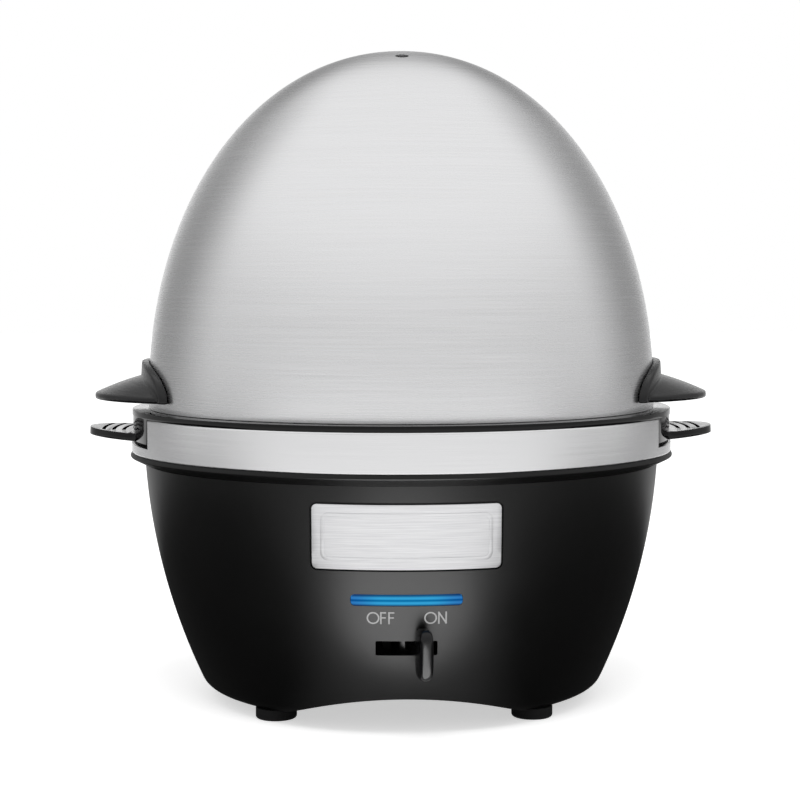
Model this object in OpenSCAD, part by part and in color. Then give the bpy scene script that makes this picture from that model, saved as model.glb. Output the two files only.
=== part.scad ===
// Electric egg cooker: moulded base with a steel band, lift-out egg tray and lift-off steel lid.
// Millimetres, +Z up, front towards -Y, origin on the counter at the centre of the base.

/* [Rim and band] */
// Outer radius of the steel band
rim_r = 90.75; // [87:0.25:95]
// Height of the steel band
band_h = 12.5; // [11:0.1:15]
// Thickness of the band's sheet
band_t = 0.8; // [0.5:0.1:1.2]
// Gap between the band and the neck inside it
band_gap = 0.1; // [0.05:0.05:0.3]
// Width of the notch at each side of the band
notch_w = 79; // [66:1:86]
// Height of the band left under each notch
notch_sill = 3.1; // [2:0.1:4]

/* [Base housing] */
// Height of the housing from its underside to the lip
body_h = 79.3; // [76:0.1:85]
// Step from the band in to the widest part of the side wall
shoulder = 4.05; // [3.6:0.05:4.6]
// Radius of the arc that shapes the side wall
side_arc_r = 202.5; // [190:0.5:230]
// Height above the lip at which that arc stands upright
side_arc_rise = 9.3; // [4:0.1:14]
// Radius of the lower corner
corner_r = 6; // [5:0.5:10]
// Thickness of the housing wall
wall = 2.4; // [1.8:0.1:2.8]
// How far the lip stands out past the band
lip_over = 0.65; // [0.2:0.05:1]
// Height of the slope on top of the lip's edge
lip_edge = 1.4; // [0.8:0.1:1.8]
// Height of the lip with its sloped underside
lip_drop = 3.9; // [3.4:0.1:6]
// Thickness of the neck inside the band
neck_t = 3; // [2.4:0.1:3.4]
// Depth of the pan's ledge below the lip
ledge_drop = 2.1; // [1.8:0.1:2.6]
// Width of the arch under the housing
arch_w = 77.8; // [64:0.2:80]
// Height of the arch under the housing
arch_h = 8.1; // [5:0.1:9]

/* [Feet] */
// Height of the feet under the housing
foot_h = 3.6; // [3:0.1:6]
// Radius of a foot
foot_r = 6.6; // [5:0.1:7]
// Radius of a foot's stem
foot_stem_r = 3.5; // [2.5:0.1:4]
// Length of a foot's stem
foot_stem_h = 5; // [3:0.1:7]
// Distance of the feet from the middle, sideways
foot_x = 41; // [39:0.1:43]
// Distance of the feet from the middle, front to back
foot_y = 42.3; // [40:0.1:44]

/* [Bottom cover] */
// Radius of the bottom cover
cover_r = 45.7; // [40:0.1:46]
// Thickness of the bottom cover
cover_t = 2.5; // [1.5:0.1:3]
// Height of the cover above the top of the arch
cover_recess = 0.8; // [0.4:0.1:2]
// Width of the ledge that the cover closes against
cover_ledge = 6; // [5:0.5:8]
// Thickness of that ledge
cover_ledge_t = 2.5; // [2:0.1:4]
// Height of the screw bosses on the ledge
cover_boss_h = 6; // [4:0.5:8]

/* [Front panel] */
// Width of the plate
badge_w = 56.8; // [40:0.2:60]
// Height of the plate
badge_h = 19.8; // [14:0.2:20.6]
// Height of the plate's middle above the underside
badge_z = 60; // [57:0.2:62]
// Corner radius of the plate
badge_corner = 1.6; // [0.5:0.1:4]
// Gap round the plate in its recess
badge_gap = 0.6; // [0.2:0.05:1]
// Thickness of the plate
badge_t = 1.2; // [0.8:0.1:1.6]
// How far the plate stands out of the wall
badge_proud = 0.35; // [0.1:0.05:0.6]
// Width of the light bar
lens_w = 33.6; // [24:0.2:38]
// Height of the light bar
lens_h = 3.4; // [3:0.1:4.4]
// Corner radius of the light bar's ends
lens_corner = 1.4; // [0.8:0.1:1.5]
// Height of the light bar's middle above the underside
lens_z = 40.55; // [39:0.05:43]
// How far the light bar stands out of the wall
lens_proud = 0.5; // [0.2:0.05:0.8]
// Width of the light bar's flange behind the wall
lens_flange = 1.5; // [1:0.1:2]
// Thickness of that flange
lens_flange_t = 1.2; // [0.8:0.1:1.6]
// Gap round the plate and the light bar
panel_gap = 0.15; // [0.1:0.05:0.3]

/* [Light board] */
// Width of the circuit board
board_w = 56; // [52:0.5:60]
// Height of the circuit board
board_h = 12; // [10:0.5:13]
// Thickness of the circuit board
board_t = 1.6; // [1:0.1:2]
// Distance of the board's screws from the middle
board_screw_x = 24; // [22:0.5:25]
// Length of a lamp from the board to its tip
led_len = 5.4; // [4:0.1:7]
// Radius of a lamp
led_r = 1.5; // [1:0.1:1.8]
// Spacing of the lamps
led_pitch = 10; // [7:0.5:12]
// Gap between the lamps and the light bar
led_gap = 0.9; // [0.5:0.1:1.5]
// Radius of the buzzer
buzzer_r = 5; // [4:0.1:6]
// Depth of the buzzer
buzzer_d = 7; // [4:0.1:8]
// Distance of the buzzer from the middle
buzzer_x = 14; // [10:0.5:16]

/* [Switch lever] */
// Width of the lever's slot
slot_w = 18.8; // [16:0.2:24]
// Height of the lever's slot
slot_h = 4.7; // [3.6:0.1:6]
// Height of the slot's middle above the underside
slot_z = 25.2; // [23:0.05:27]
// Depth of the lever's pivot behind the wall's face
pivot_depth = 12.6; // [11.5:0.1:14]
// Turn of the lever from its middle to either end
lever_throw = 16.5; // [12:0.5:20]
// Width of the lever's arm
arm_w = 3.2; // [2.6:0.1:5]
// Gap above and below the arm in its slot
arm_gap = 0.5; // [0.2:0.1:0.8]
// Distance of the paddle's middle past the wall's face
paddle_out = 5.8; // [5:0.1:8]
// Depth of the paddle
paddle_d = 8.2; // [6:0.1:10]
// Height of the paddle
paddle_h = 15.8; // [12:0.1:20]
// Thickness of the paddle at its middle
paddle_t = 3.7; // [2.5:0.1:5]
// Height of the paddle's middle below the slot's middle
paddle_drop = 0.9; // [0:0.1:2]
// Gap between the paddle and the wall
paddle_gap = 0.6; // [0.4:0.1:1]
// Radius of the pivot pin
pin_r = 2; // [1.5:0.1:2.5]
// Running clearance of the lever on its pin
pin_gap = 0.05; // [0.02:0.01:0.1]
// Radius of the lever's hub
hub_r = 4.5; // [3.8:0.1:5]
// Distance from the pivot to the peg on the lever's tail
tail_r = 9; // [8:0.1:11]
// Radius of the peg on the lever's tail
peg_r = 1.2; // [0.8:0.1:1.5]
// Gap between the peg and the slider's fork
peg_gap = 0.25; // [0.15:0.05:0.4]

/* [Switch] */
// Height between the bracket's plates
bracket_h = 13.5; // [13:0.1:16]
// Thickness of the bracket's sheet
bracket_t = 2; // [1.2:0.1:2.5]
// Distance of the bracket's screws from the middle
bracket_screw_x = 18; // [17:0.5:20]
// Width of the switch body
switch_w = 24; // [20:0.5:26]
// Depth of the switch body
switch_d = 12; // [9:0.5:14]
// Height of the switch body
switch_h = 12; // [11:0.5:12.5]
// Width of the slider's fork
fork_w = 9; // [7:0.5:10]
// Height of the slider's fork
fork_h = 4.5; // [3:0.1:5]

/* [Pan and heater] */
// Depth of the pan below its rim
pan_depth = 12.6; // [10:0.2:15]
// Thickness of the pan's sheet
pan_t = 0.8; // [0.6:0.1:1.2]
// Width of the pan's rim
pan_rim_w = 5; // [4:0.1:7]
// Inward slope of the pan's wall
pan_slope = 5; // [3:0.5:8]
// Gap between the pan's rim and the neck
pan_gap = 0.5; // [0.3:0.1:1]
// Thickness of the seal under the pan's rim
seal_t = 0.8; // [0.5:0.1:1.2]
// Width of the seal under the pan's rim
seal_w = 2; // [1.5:0.1:2.2]
// Distance of the pan's three studs from the middle
stud_ring_r = 52; // [50:0.5:55]
// Radius of a stud
stud_r = 2; // [1.5:0.1:2.5]
// Radius of the heating element's ring
element_ring_r = 40; // [36:0.5:43]
// Radius of the heating element's tube
element_r = 3.5; // [2.5:0.1:4]
// Height of the housing's lugs below the pan
lug_drop = 10.5; // [9:0.5:13]
// Thickness of the housing's lugs
lug_t = 3; // [2:0.1:4]
// Radius of the heat shield
shield_r = 60; // [56:0.5:61]
// Thickness of the heat shield
shield_t = 1.2; // [0.8:0.1:1.6]
// Radius of the thermostat
thermostat_r = 9; // [7:0.1:10]
// Height of the thermostat
thermostat_h = 7; // [5:0.1:8]
// Distance of the thermostat's studs from the middle
thermostat_stud_x = 15; // [14:0.1:17]
// Radius of the thermal fuse
fuse_r = 2.2; // [1.6:0.1:2.6]
// Distance of the thermal fuse from the middle
fuse_x = 27; // [25:0.5:28]

/* [Cord gland] */
// Radius of the bore for the lead
gland_bore_r = 3.6; // [3:0.1:4.2]
// Radius of the gland where it passes the wall
gland_r = 6; // [5.4:0.1:6.6]
// Radius of the gland's flange
gland_flange_r = 8.5; // [8:0.1:9.5]
// Thickness of the gland's flange
gland_flange_t = 2.5; // [1.5:0.1:4]
// Height of the gland above the underside
gland_z = 18.4; // [17.5:0.1:21]

/* [Egg tray] */
// Thickness of the tray's flange
flange_t = 1.8; // [1.4:0.1:2.4]
// Step from the band's edge in to the flange's edge
flange_inset = 0.25; // [0:0.05:0.8]
// Step from the lid's rim in to the tray's well
well_inset = 2.5; // [2:0.1:4]
// Thickness of the well's wall and floor
tray_t = 2; // [1.6:0.1:2.4]
// Gap between the tray's floor and the pan's rim
tray_gap = 1.6; // [0.6:0.1:2]
// Height of the rib inside the lid's rim that keeps the lid in place
rib_h = 1.4; // [0.8:0.1:2]
// Thickness of that rib
rib_t = 1.3; // [0.8:0.1:1.6]
// Gap between the lid's rim and the rib
rib_gap = 1.2; // [0.6:0.1:1.6]
// Radius of an egg hole
egg_hole_r = 16.5; // [15:0.1:17]
// Distance of the outer eggs from the middle
egg_ring_r = 60.5; // [59:0.1:61]
// Distance of the two inner eggs from the middle
egg_inner_x = 20.5; // [19.5:0.1:21.5]
// How far a carrying handle reaches past the band
tray_reach = 14.65; // [11:0.05:20]
// Radius of a carrying handle's outline
tray_lobe_r = 23; // [20:0.1:30]
// Thickness of a carrying handle
tray_handle_t = 2.4; // [1.8:0.1:3]
// Rise of a carrying handle towards its tip
tray_handle_tilt = 4.2; // [0:0.1:6]
// Gap under a carrying handle in its notch
tray_handle_gap = 1.3; // [0.6:0.1:2]
// Gap beside a carrying handle in its notch
web_gap = 1.7; // [0.5:0.1:3]
// Thickness of the web above a carrying handle
web_t = 2.7; // [1.8:0.1:3]
// Width of a slot in a carrying handle
grip_slot_w = 1.2; // [0.8:0.1:1.6]
// Spacing of the slots in a carrying handle
grip_pitch = 3.3; // [3:0.1:4]
// Distance of the first slot past the band
grip_first = 2.85; // [2:0.05:3.5]
// Number of slots in a carrying handle
grip_slots = 3; // [1:1:3]
// Width of the border round the slots
grip_border = 1.6; // [1.2:0.1:3]

/* [Lid] */
// Step from the band's edge in to the lid's rim
lid_inset = 5.75; // [5.2:0.05:7]
// Height of the lid
lid_h = 118.8; // [100:0.2:130]
// Height of the straight part above the lid's rim
lid_skirt = 2.8; // [1:0.1:6]
// Thickness of the lid's sheet
lid_t = 0.8; // [0.5:0.1:1.2]
// Squareness of the dome, where 2 is an ellipse
dome_power = 2.06; // [2:0.01:2.3]
// Radius of the steam hole
steam_r = 2.2; // [1.5:0.1:3]
// Distance of the steam hole in front of the top
steam_y = 22.3; // [10:0.1:35]

/* [Lid handles] */
// How far a handle reaches past the lid's rim
lid_reach = 18.2; // [14:0.1:24]
// Radius of a handle's outline
wing_r = 42; // [38:0.1:46]
// Height of a handle's underside above the lid's rim
wing_lift = 3.2; // [2:0.1:8]
// Height of a handle's outer edge
wing_edge_h = 1.9; // [1.4:0.1:3]
// Radius of the crown on a handle's top
wing_crown_r = 99.5; // [88:0.5:120]
// Width of the pad against the lid
pad_w = 81; // [70:0.5:88]
// Height of the pad against the lid
pad_h = 12.9; // [10:0.1:20]
// Squareness of the pad's outline, where 2 is an ellipse
pad_power = 2.35; // [2:0.05:3]
// Thickness of the pad against the lid
pad_t = 2.5; // [1.8:0.1:3.5]
// Gap between a handle and the lid
handle_gap = 0.15; // [0.1:0.05:0.3]
// Height of the handle's screws above the handle's underside
screw_z = 3.2; // [2.6:0.1:3.4]
// Turn of the handle's screws from the handle's middle
screw_turn = 8; // [5:0.5:10]
// Length of a handle's screw in the handle
screw_len = 7; // [5:0.1:8]

/* [Fasteners] */
// Radius of a screw's shank
screw_r = 1.5; // [1.2:0.1:1.6]
// Radius of a screw's head
screw_head_r = 2.8; // [2.2:0.1:3]
// Height of a screw's head
screw_head_h = 1.8; // [1.2:0.1:2.2]
// Radial clearance of a screw or stud in its hole
screw_gap = 0.15; // [0.1:0.05:0.25]
// Wall of a moulded boss round its hole
boss_t = 2.3; // [1.8:0.1:2.5]
// Radius of a washer
washer_r = 4; // [3.4:0.1:4.5]
// Thickness of a washer
washer_t = 0.6; // [0.4:0.1:1]
// Height of a nut
nut_h = 2.6; // [2:0.1:3]
// Width of a nut past its thread on each side
nut_rim = 1.8; // [1.2:0.1:2]

/* [Hidden] */
$fn = 96;

// Small numbers that cuts and seats share
cut = 1;
seat = 0.05;
arc_steps = 16;
corner_steps = 8;
dome_steps = 40;
crown_flat = 1;
far = 2 * rim_r;
screw_hole_r = screw_r + screw_gap;
screw_boss_r = screw_hole_r + boss_t;

// Colours
black_plastic = "#1d1d1f";
steel = "#bfc1c4";
rubber_black = "#18181a";
inner_black = "#26262a";

// Heights from the counter up
lip_z = foot_h + body_h;
lip_under_z = lip_z - lip_drop;
ledge_z = lip_z - ledge_drop;
band_top_z = lip_z + band_h;
neck_top_z = band_top_z - band_t;
tray_top_z = band_top_z + flange_t;
lid_top_z = tray_top_z + lid_h;
arch_top_z = foot_h + arch_h;

// Radii at the rim
lip_r = rim_r + lip_over;
neck_r = rim_r - band_t - band_gap;
neck_in_r = neck_r - neck_t;
body_r = rim_r - shoulder;
lid_r = rim_r - lid_inset;
arch_r = (pow(arch_w / 2, 2) + pow(arch_h, 2)) / (2 * arch_h);

// Side wall: one arc that runs into a round lower corner
side_x = body_r - side_arc_r;
side_z = lip_z + side_arc_rise;
corner_z = foot_h + corner_r;
corner_x = side_x + sqrt(pow(side_arc_r - corner_r, 2) - pow(side_z - corner_z, 2));
join_angle = atan2(corner_z - side_z, corner_x - side_x);

function side_r(z, inset = 0) = side_x + sqrt(pow(side_arc_r - inset, 2) - pow(z - side_z, 2));
function side_angle(z, inset) = asin((z - side_z) / (side_arc_r - inset));
function on_arc(c, r, a) = [c[0] + r * cos(a), c[1] + r * sin(a)];

// The wall's outline from the middle of the underside up to a height, moved in by an inset
function wall_outline(inset, top) = concat(
    [[0, foot_h + inset]],
    [for (i = [0:corner_steps])
        on_arc([corner_x, corner_z], corner_r - inset, -90 + (join_angle + 90) * i / corner_steps)],
    [for (i = [1:arc_steps])
        on_arc([side_x, side_z], side_arc_r - inset,
            join_angle + (side_angle(top, inset) - join_angle) * i / arc_steps)]
);

// Heights and depths of the front panel and the switch
badge_mid_z = foot_h + badge_z;
lens_mid_z = foot_h + lens_z;
slot_mid_z = foot_h + slot_z;
board_face_y = -(side_r(lens_mid_z, wall + lens_flange_t) - led_len - led_gap);
board_back_y = board_face_y + board_t;
pivot_y = -(side_r(slot_mid_z) - pivot_depth);
bracket_low_z = slot_mid_z - bracket_h / 2;
bracket_high_z = slot_mid_z + bracket_h / 2;
bracket_foot_z = bracket_low_z - bracket_t;
bracket_top_z = bracket_high_z + bracket_t;
hub_gap = 0.3;
fork_drop = 3.5;
fork_low_z = slot_mid_z - fork_drop;
fork_high_z = fork_low_z + fork_h;
fork_gap = 0.3;
fork_wall = 1.5;
slide_gap = 0.2;
tail_t = 2.6;
paddle_blunt = 1.06;
peg_travel = tail_r * sin(lever_throw);
switch_face_y = pivot_y + tail_r + peg_r + peg_gap + fork_wall + slide_gap;
switch_back_y = switch_face_y + switch_d;
stem_w = 4;
stem_h = 3.2;
stem_l = 4;
bracket_back_y = switch_back_y + bracket_t;
bracket_front_y = pivot_y - hub_r;
bracket_screw_y = pivot_y + hub_r + screw_head_r;
bracket_rim = screw_head_r + 1;
bracket_side = bracket_screw_x + bracket_rim;

// Heights of the pan and what hangs under it
pan_rim_z = ledge_z + seal_t;
pan_rim_r = neck_in_r - pan_gap;
pan_mouth_r = pan_rim_r - pan_rim_w;
pan_floor_r = pan_mouth_r - pan_slope;
pan_floor_z = pan_rim_z - pan_depth;
lug_z = pan_floor_z - lug_drop - lug_t;
lug_rim = 3;
lug_w = 2 * (stud_r + screw_gap + lug_rim);
shield_z = lug_z - shield_t;
stud_end = 1;
stud_angles = [90, 210, 330];
small_stud_r = 1.5;
flange_plate_t = 1.2;
strap_t = 0.6;
strap_l = 5;
element_gap_angle = 30;

// Heights under the housing
cover_z = arch_top_z + cover_recess;
cover_top_z = cover_z + cover_t;
cover_gap = 0.3;
cover_boss_z = cover_top_z + cover_ledge_t + cover_boss_h;
hatch_r = cover_r + cover_gap;
cover_screw_r = hatch_r - cover_ledge / 2;
gland_mid_z = foot_h + gland_z;
gland_proud = 1.3;
gland_seat_y = side_r(gland_mid_z) + gland_proud;
gland_pad_t = 9.5;
gland_rim_t = 2;
gland_rim_h = 1;
gland_lip_t = 2.5;
gland_lip = 1;
gland_lip_r = gland_r + gland_lip;
gland_gap = 0.1;

// Radii and heights of the tray
flange_r = rim_r - flange_inset;
well_r = lid_r - well_inset;
rib_r = lid_r - lid_t - rib_gap;
tray_floor_z = pan_rim_z + pan_t + tray_gap;
notch_z = lip_z + notch_sill;
tray_handle_z = notch_z + tray_handle_gap;
web_w = notch_w - 2 * web_gap;
web_inset = 0.2;
web_mid_r = flange_r - web_inset - web_t / 2;
tray_lobe_x = rim_r + tray_reach - tray_lobe_r;
egg_count = 8;

// Heights of the lid and its handles
wing_z = tray_top_z + wing_lift;
wing_x = lid_r + lid_reach - wing_r;
wing_crown_z = wing_z + wing_edge_h - sqrt(pow(wing_crown_r, 2) - pow(wing_r, 2));
handle_screw_z = wing_z + screw_z;
dome_rise = lid_h - lid_skirt;
dome_base_z = tray_top_z + lid_skirt;
steam_cut = 8 * lid_t;

// A point of the pad's outline at an angle
function pad_point(a) = [
    pad_w / 2 * sign(cos(a)) * pow(abs(cos(a)), 2 / pad_power), pad_h * pow(sin(a), 2 / pad_power)
];

// The dome's height at a distance from the middle, its slope there, and its radius at a height
function dome_z(r) = dome_base_z + dome_rise * pow(1 - pow(r / lid_r, dome_power), 1 / dome_power);
function dome_slope(r) = atan(dome_z(r - 0.5) - dome_z(r + 0.5));
function dome_r(z) =
    lid_r * pow(1 - pow(max(0, z - dome_base_z) / dome_rise, dome_power), 1 / dome_power);
washer_seat_r = sqrt(pow(dome_r(handle_screw_z + washer_r) - lid_t, 2) - pow(washer_r, 2)) - seat;

// A solid of revolution of the housing's outside, moved in by an inset and cut off at a height
module wall_solid(inset, top) {
    rotate_extrude() polygon(concat(wall_outline(inset, top), [[0, top]]));
}

// The hollow of the arch under the housing, grown by a thickness
module arch_hollow(grow) {
    translate([0, 0, arch_top_z - arch_r])
        rotate([90, 0, 0])
            cylinder(r = arch_r + grow, h = 2 * far, center = true);
}

// The housing's outside with the arch taken out, where all its bosses have to stay
module housing_envelope() {
    difference() {
        wall_solid(seat, ledge_z);
        arch_hollow(seat);
    }
}

// The two notches through the band and the neck
module notches() {
    for (side = [-1, 1])
        translate([side * rim_r, 0, notch_z + band_h])
            cube([rim_r / 2, notch_w, 2 * band_h], center = true);
}

// A flat outline stood up at the front and pushed back through the wall
module front_prism() {
    rotate([90, 0, 0]) linear_extrude(far) children();
}

module rounded_plate(w, h, r) {
    for (x = [-1, 1], z = [-1, 1])
        translate([x * (w / 2 - r), z * (h / 2 - r)]) circle(r);
    square([w - 2 * r, h], center = true);
    square([w, h - 2 * r], center = true);
}

module badge_outline(grow) {
    translate([0, badge_mid_z])
        rounded_plate(badge_w + 2 * grow, badge_h + 2 * grow, badge_corner + grow);
}

module lens_outline(grow) {
    translate([0, lens_mid_z])
        rounded_plate(lens_w + 2 * grow, lens_h + 2 * grow, lens_corner + grow);
}

// A pan head screw along +Z, with the seat of its head at the origin and its head below
module screw(length) {
    translate([0, 0, -screw_head_h]) cylinder(r = screw_head_r, h = screw_head_h);
    translate([0, 0, -seat]) cylinder(r = screw_r, h = length + seat);
}

module nut(thread_r) {
    difference() {
        cylinder(r = thread_r + nut_rim, h = nut_h, $fn = 6);
        translate([0, 0, -cut]) cylinder(r = thread_r + screw_gap, h = nut_h + 2 * cut);
    }
}

// Places for what repeats
module at_feet() {
    for (x = [-1, 1], y = [-1, 1]) translate([x * foot_x, y * foot_y, foot_h]) children();
}

module at_cover_screws() {
    for (a = [45:90:315]) rotate(a) translate([cover_screw_r, 0, 0]) children();
}

module at_bracket_screws() {
    for (x = [-1, 1]) translate([x * bracket_screw_x, bracket_screw_y, 0]) children();
}

module at_board_screws() {
    for (x = [-1, 1]) translate([x * board_screw_x, 0, lens_mid_z]) children();
}

module at_pan_studs() {
    for (a = stud_angles) rotate(a) translate([stud_ring_r, 0, 0]) children();
}

module at_thermostat_studs() {
    for (x = [-1, 1]) translate([x * thermostat_stud_x, 0, 0]) children();
}

module at_handle_screws() {
    for (side = [0, 180], turn = [-1, 1])
        rotate(side + turn * screw_turn)
            translate([0, 0, handle_screw_z])
                rotate([0, 90, 0])
                    children();
}

// Base housing: outside, hollow and what is moulded inside it
module housing_shell() {
    difference() {
        rotate_extrude()
            polygon(concat(wall_outline(0, lip_under_z), [
                [lip_r, lip_z - lip_edge], [rim_r, lip_z], [neck_r, lip_z],
                [neck_r, neck_top_z], [0, neck_top_z]
            ]));
        arch_hollow(0);
        difference() {
            rotate_extrude()
                polygon(concat(wall_outline(wall, ledge_z), [
                    [neck_in_r, ledge_z], [neck_in_r, neck_top_z + cut], [0, neck_top_z + cut]
                ]));
            arch_hollow(wall);
        }
    }
}

module housing_bosses() {
    intersection() {
        housing_envelope();
        union() {
            translate([0, 0, foot_h])
                cylinder(r = hatch_r + wall, h = cover_top_z + cover_ledge_t - foot_h);
            at_cover_screws() cylinder(r = screw_boss_r, h = cover_boss_z);
            at_feet() cylinder(r = foot_stem_r + boss_t, h = foot_stem_h + boss_t);
            at_bracket_screws() cylinder(r = screw_boss_r, h = bracket_foot_z);
        }
    }
    intersection() {
        wall_solid(wall / 2, ledge_z);
        union() {
            translate([0, board_face_y, 0])
                at_board_screws()
                    rotate([90, 0, 0]) cylinder(r = screw_boss_r, h = far);
            for (a = stud_angles)
                rotate(a)
                    translate([stud_ring_r - lug_w / 2, -lug_w / 2, lug_z]) cube([far, lug_w, lug_t]);
        }
    }
    translate([0, gland_seat_y + gland_rim_h, gland_mid_z])
        rotate([90, 0, 0]) cylinder(r = gland_flange_r + gland_rim_t, h = gland_pad_t + gland_rim_h);
}

module housing_holes() {
    translate([0, 0, -cut]) cylinder(r = hatch_r, h = cover_top_z + cut);
    cylinder(r = hatch_r - cover_ledge, h = cover_top_z + cover_ledge_t + cut);
    at_cover_screws() cylinder(r = screw_hole_r, h = cover_boss_z - wall);
    at_feet()
        translate([0, 0, -cut]) cylinder(r = foot_stem_r + seat, h = foot_stem_h + seat + cut);
    at_bracket_screws()
        translate([0, 0, arch_top_z + wall]) cylinder(r = screw_hole_r, h = bracket_foot_z);
    translate([0, board_face_y + cut, 0])
        at_board_screws()
            rotate([90, 0, 0]) cylinder(r = screw_hole_r, h = led_len / 2 + cut);
    at_pan_studs() translate([0, 0, lug_z - cut]) cylinder(r = stud_r + screw_gap, h = lug_t + 2 * cut);
    notches();
    translate([-slot_w / 2, -far, slot_mid_z - slot_h / 2]) cube([slot_w, far + pivot_y, slot_h]);
    difference() {
        front_prism() badge_outline(badge_gap);
        wall_solid(badge_t - badge_proud + seat, ledge_z);
    }
    front_prism() lens_outline(panel_gap);
    translate([0, gland_seat_y + far, gland_mid_z]) rotate([90, 0, 0])
        cylinder(r = gland_flange_r + gland_gap, h = far);
    translate([0, gland_seat_y + cut, gland_mid_z]) rotate([90, 0, 0])
        cylinder(r = gland_r + gland_gap, h = gland_pad_t + 2 * cut);
}

module base_housing() {
    color(black_plastic)
        difference() {
            union() {
                housing_shell();
                housing_bosses();
            }
            housing_holes();
        }
}

// Steel band with a flange turned in over the neck
module trim_band() {
    color(steel)
        difference() {
            translate([0, 0, lip_z]) cylinder(r = rim_r, h = band_h);
            translate([0, 0, lip_z - cut]) cylinder(r = rim_r - band_t, h = neck_top_z - lip_z + cut);
            translate([0, 0, lip_z]) cylinder(r = neck_in_r, h = band_h + cut);
            notches();
        }
}

// Plate on the front, bent to the wall's curve
module badge_plate() {
    color(steel)
        intersection() {
            front_prism() badge_outline(0);
            difference() {
                wall_solid(-badge_proud, ledge_z);
                wall_solid(badge_t - badge_proud, ledge_z + cut);
            }
        }
}

// Light bar with a flange behind the wall
module light_lens() {
    color("#1f9fe6")
        difference() {
            intersection() {
                wall_solid(-lens_proud, ledge_z);
                union() {
                    front_prism() lens_outline(0);
                    intersection() {
                        front_prism() lens_outline(lens_flange);
                        wall_solid(wall + seat, ledge_z - cut);
                    }
                }
            }
            wall_solid(wall + lens_flange_t, ledge_z + cut);
        }
}

// Circuit board behind the light bar, on two bosses
module led_board() {
    color("#2f6b3c")
        difference() {
            translate([-board_w / 2, board_face_y, lens_mid_z - board_h / 2])
                cube([board_w, board_t, board_h]);
            at_board_screws()
                rotate([90, 0, 0]) cylinder(r = screw_hole_r, h = 2 * far, center = true);
        }
}

module leds() {
    color("#cfe6ff")
        for (i = [-1:1])
            translate([i * led_pitch, board_face_y, lens_mid_z])
                rotate([90, 0, 0]) {
                    cylinder(r = led_r, h = led_len - led_r);
                    translate([0, 0, led_len - led_r]) sphere(led_r);
                }
}

module board_screws() {
    color(steel)
        translate([0, board_back_y, 0])
            at_board_screws()
                rotate([90, 0, 0]) screw(board_t + led_len / 2 - seat);
}

module buzzer() {
    color(inner_black)
        translate([buzzer_x, board_back_y + buzzer_d, lens_mid_z])
            rotate([90, 0, 0])
                difference() {
                    cylinder(r = buzzer_r, h = buzzer_d);
                    translate([0, 0, -cut]) cylinder(r = buzzer_r / 4, h = buzzer_d / 2 + cut);
                }
}

// Bracket that carries the lever's pin and the switch
module switch_bracket() {
    color(inner_black)
        difference() {
            union() {
                translate([-bracket_side, bracket_screw_y - bracket_rim, bracket_foot_z])
                    cube([2 * bracket_side, bracket_back_y - bracket_screw_y + bracket_rim, bracket_t]);
                for (z = [bracket_foot_z, bracket_high_z])
                    translate([-hub_r, bracket_front_y, z])
                        cube([2 * hub_r, bracket_back_y - bracket_front_y, bracket_t]);
                translate([-hub_r, switch_back_y, bracket_foot_z])
                    cube([2 * hub_r, bracket_t, bracket_top_z - bracket_foot_z]);
            }
            translate([0, pivot_y, bracket_foot_z - cut])
                cylinder(r = pin_r + seat, h = bracket_top_z - bracket_foot_z + 2 * cut);
            at_bracket_screws()
                translate([0, 0, bracket_foot_z - cut])
                    cylinder(r = screw_hole_r, h = bracket_t + 2 * cut);
        }
}

module bracket_screws() {
    color(steel)
        at_bracket_screws()
            translate([0, 0, bracket_low_z])
                rotate([180, 0, 0]) screw(bracket_foot_z - arch_top_z - 2 * wall);
}

// Pin with a head on the bracket's upper plate
module lever_pivot_pin() {
    color(steel)
        translate([0, pivot_y, bracket_foot_z]) {
            cylinder(r = pin_r, h = bracket_top_z - bracket_foot_z + cut);
            translate([0, 0, bracket_top_z - bracket_foot_z]) cylinder(r = pin_r + cut, h = cut);
        }
}

// Switch body with a window for the slider's stem
module power_switch() {
    window_w = stem_w + 2 * (peg_travel + slide_gap);
    window_l = stem_l + slide_gap + cut;
    color(inner_black)
        difference() {
            translate([-switch_w / 2, switch_face_y, bracket_low_z])
                cube([switch_w, switch_d, switch_h]);
            translate([-window_w / 2, switch_face_y - cut, fork_low_z])
                cube([window_w, window_l, stem_h + 2 * slide_gap]);
        }
}

// Slider, shown where the lever holds it at ON
module switch_slider() {
    fork_l = switch_face_y - slide_gap - (pivot_y + hub_r + fork_gap);
    color(inner_black)
        translate([-peg_travel, switch_face_y - slide_gap, fork_low_z]) {
            difference() {
                translate([-fork_w / 2, -fork_l, 0]) cube([fork_w, fork_l, fork_h]);
                translate([-peg_r - peg_gap, -fork_l - cut, -cut])
                    cube([2 * (peg_r + peg_gap), fork_l - fork_wall + cut, fork_h + 2 * cut]);
            }
            translate([-stem_w / 2, -seat, slide_gap]) cube([stem_w, stem_l + seat, stem_h]);
        }
}

// Paddle that is oval from the side and from the front, hollowed clear of the wall at both ends
module oval(w, h) {
    polygon([for (a = [0:7.5:352.5]) [w / 2 * cos(a), h / 2 * sin(a)]]);
}

module lever_paddle() {
    difference() {
        translate([0, -pivot_depth - paddle_out, slot_mid_z - paddle_drop])
            intersection() {
                rotate([90, 0, 90])
                    linear_extrude(2 * paddle_t, center = true) oval(paddle_d, paddle_h);
                rotate([90, 0, 0])
                    linear_extrude(2 * paddle_d, center = true) oval(paddle_t, paddle_h * paddle_blunt);
            }
        for (end = [-1, 1])
            rotate(end * lever_throw) translate([0, -pivot_y, 0]) wall_solid(-paddle_gap, ledge_z);
    }
}

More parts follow.
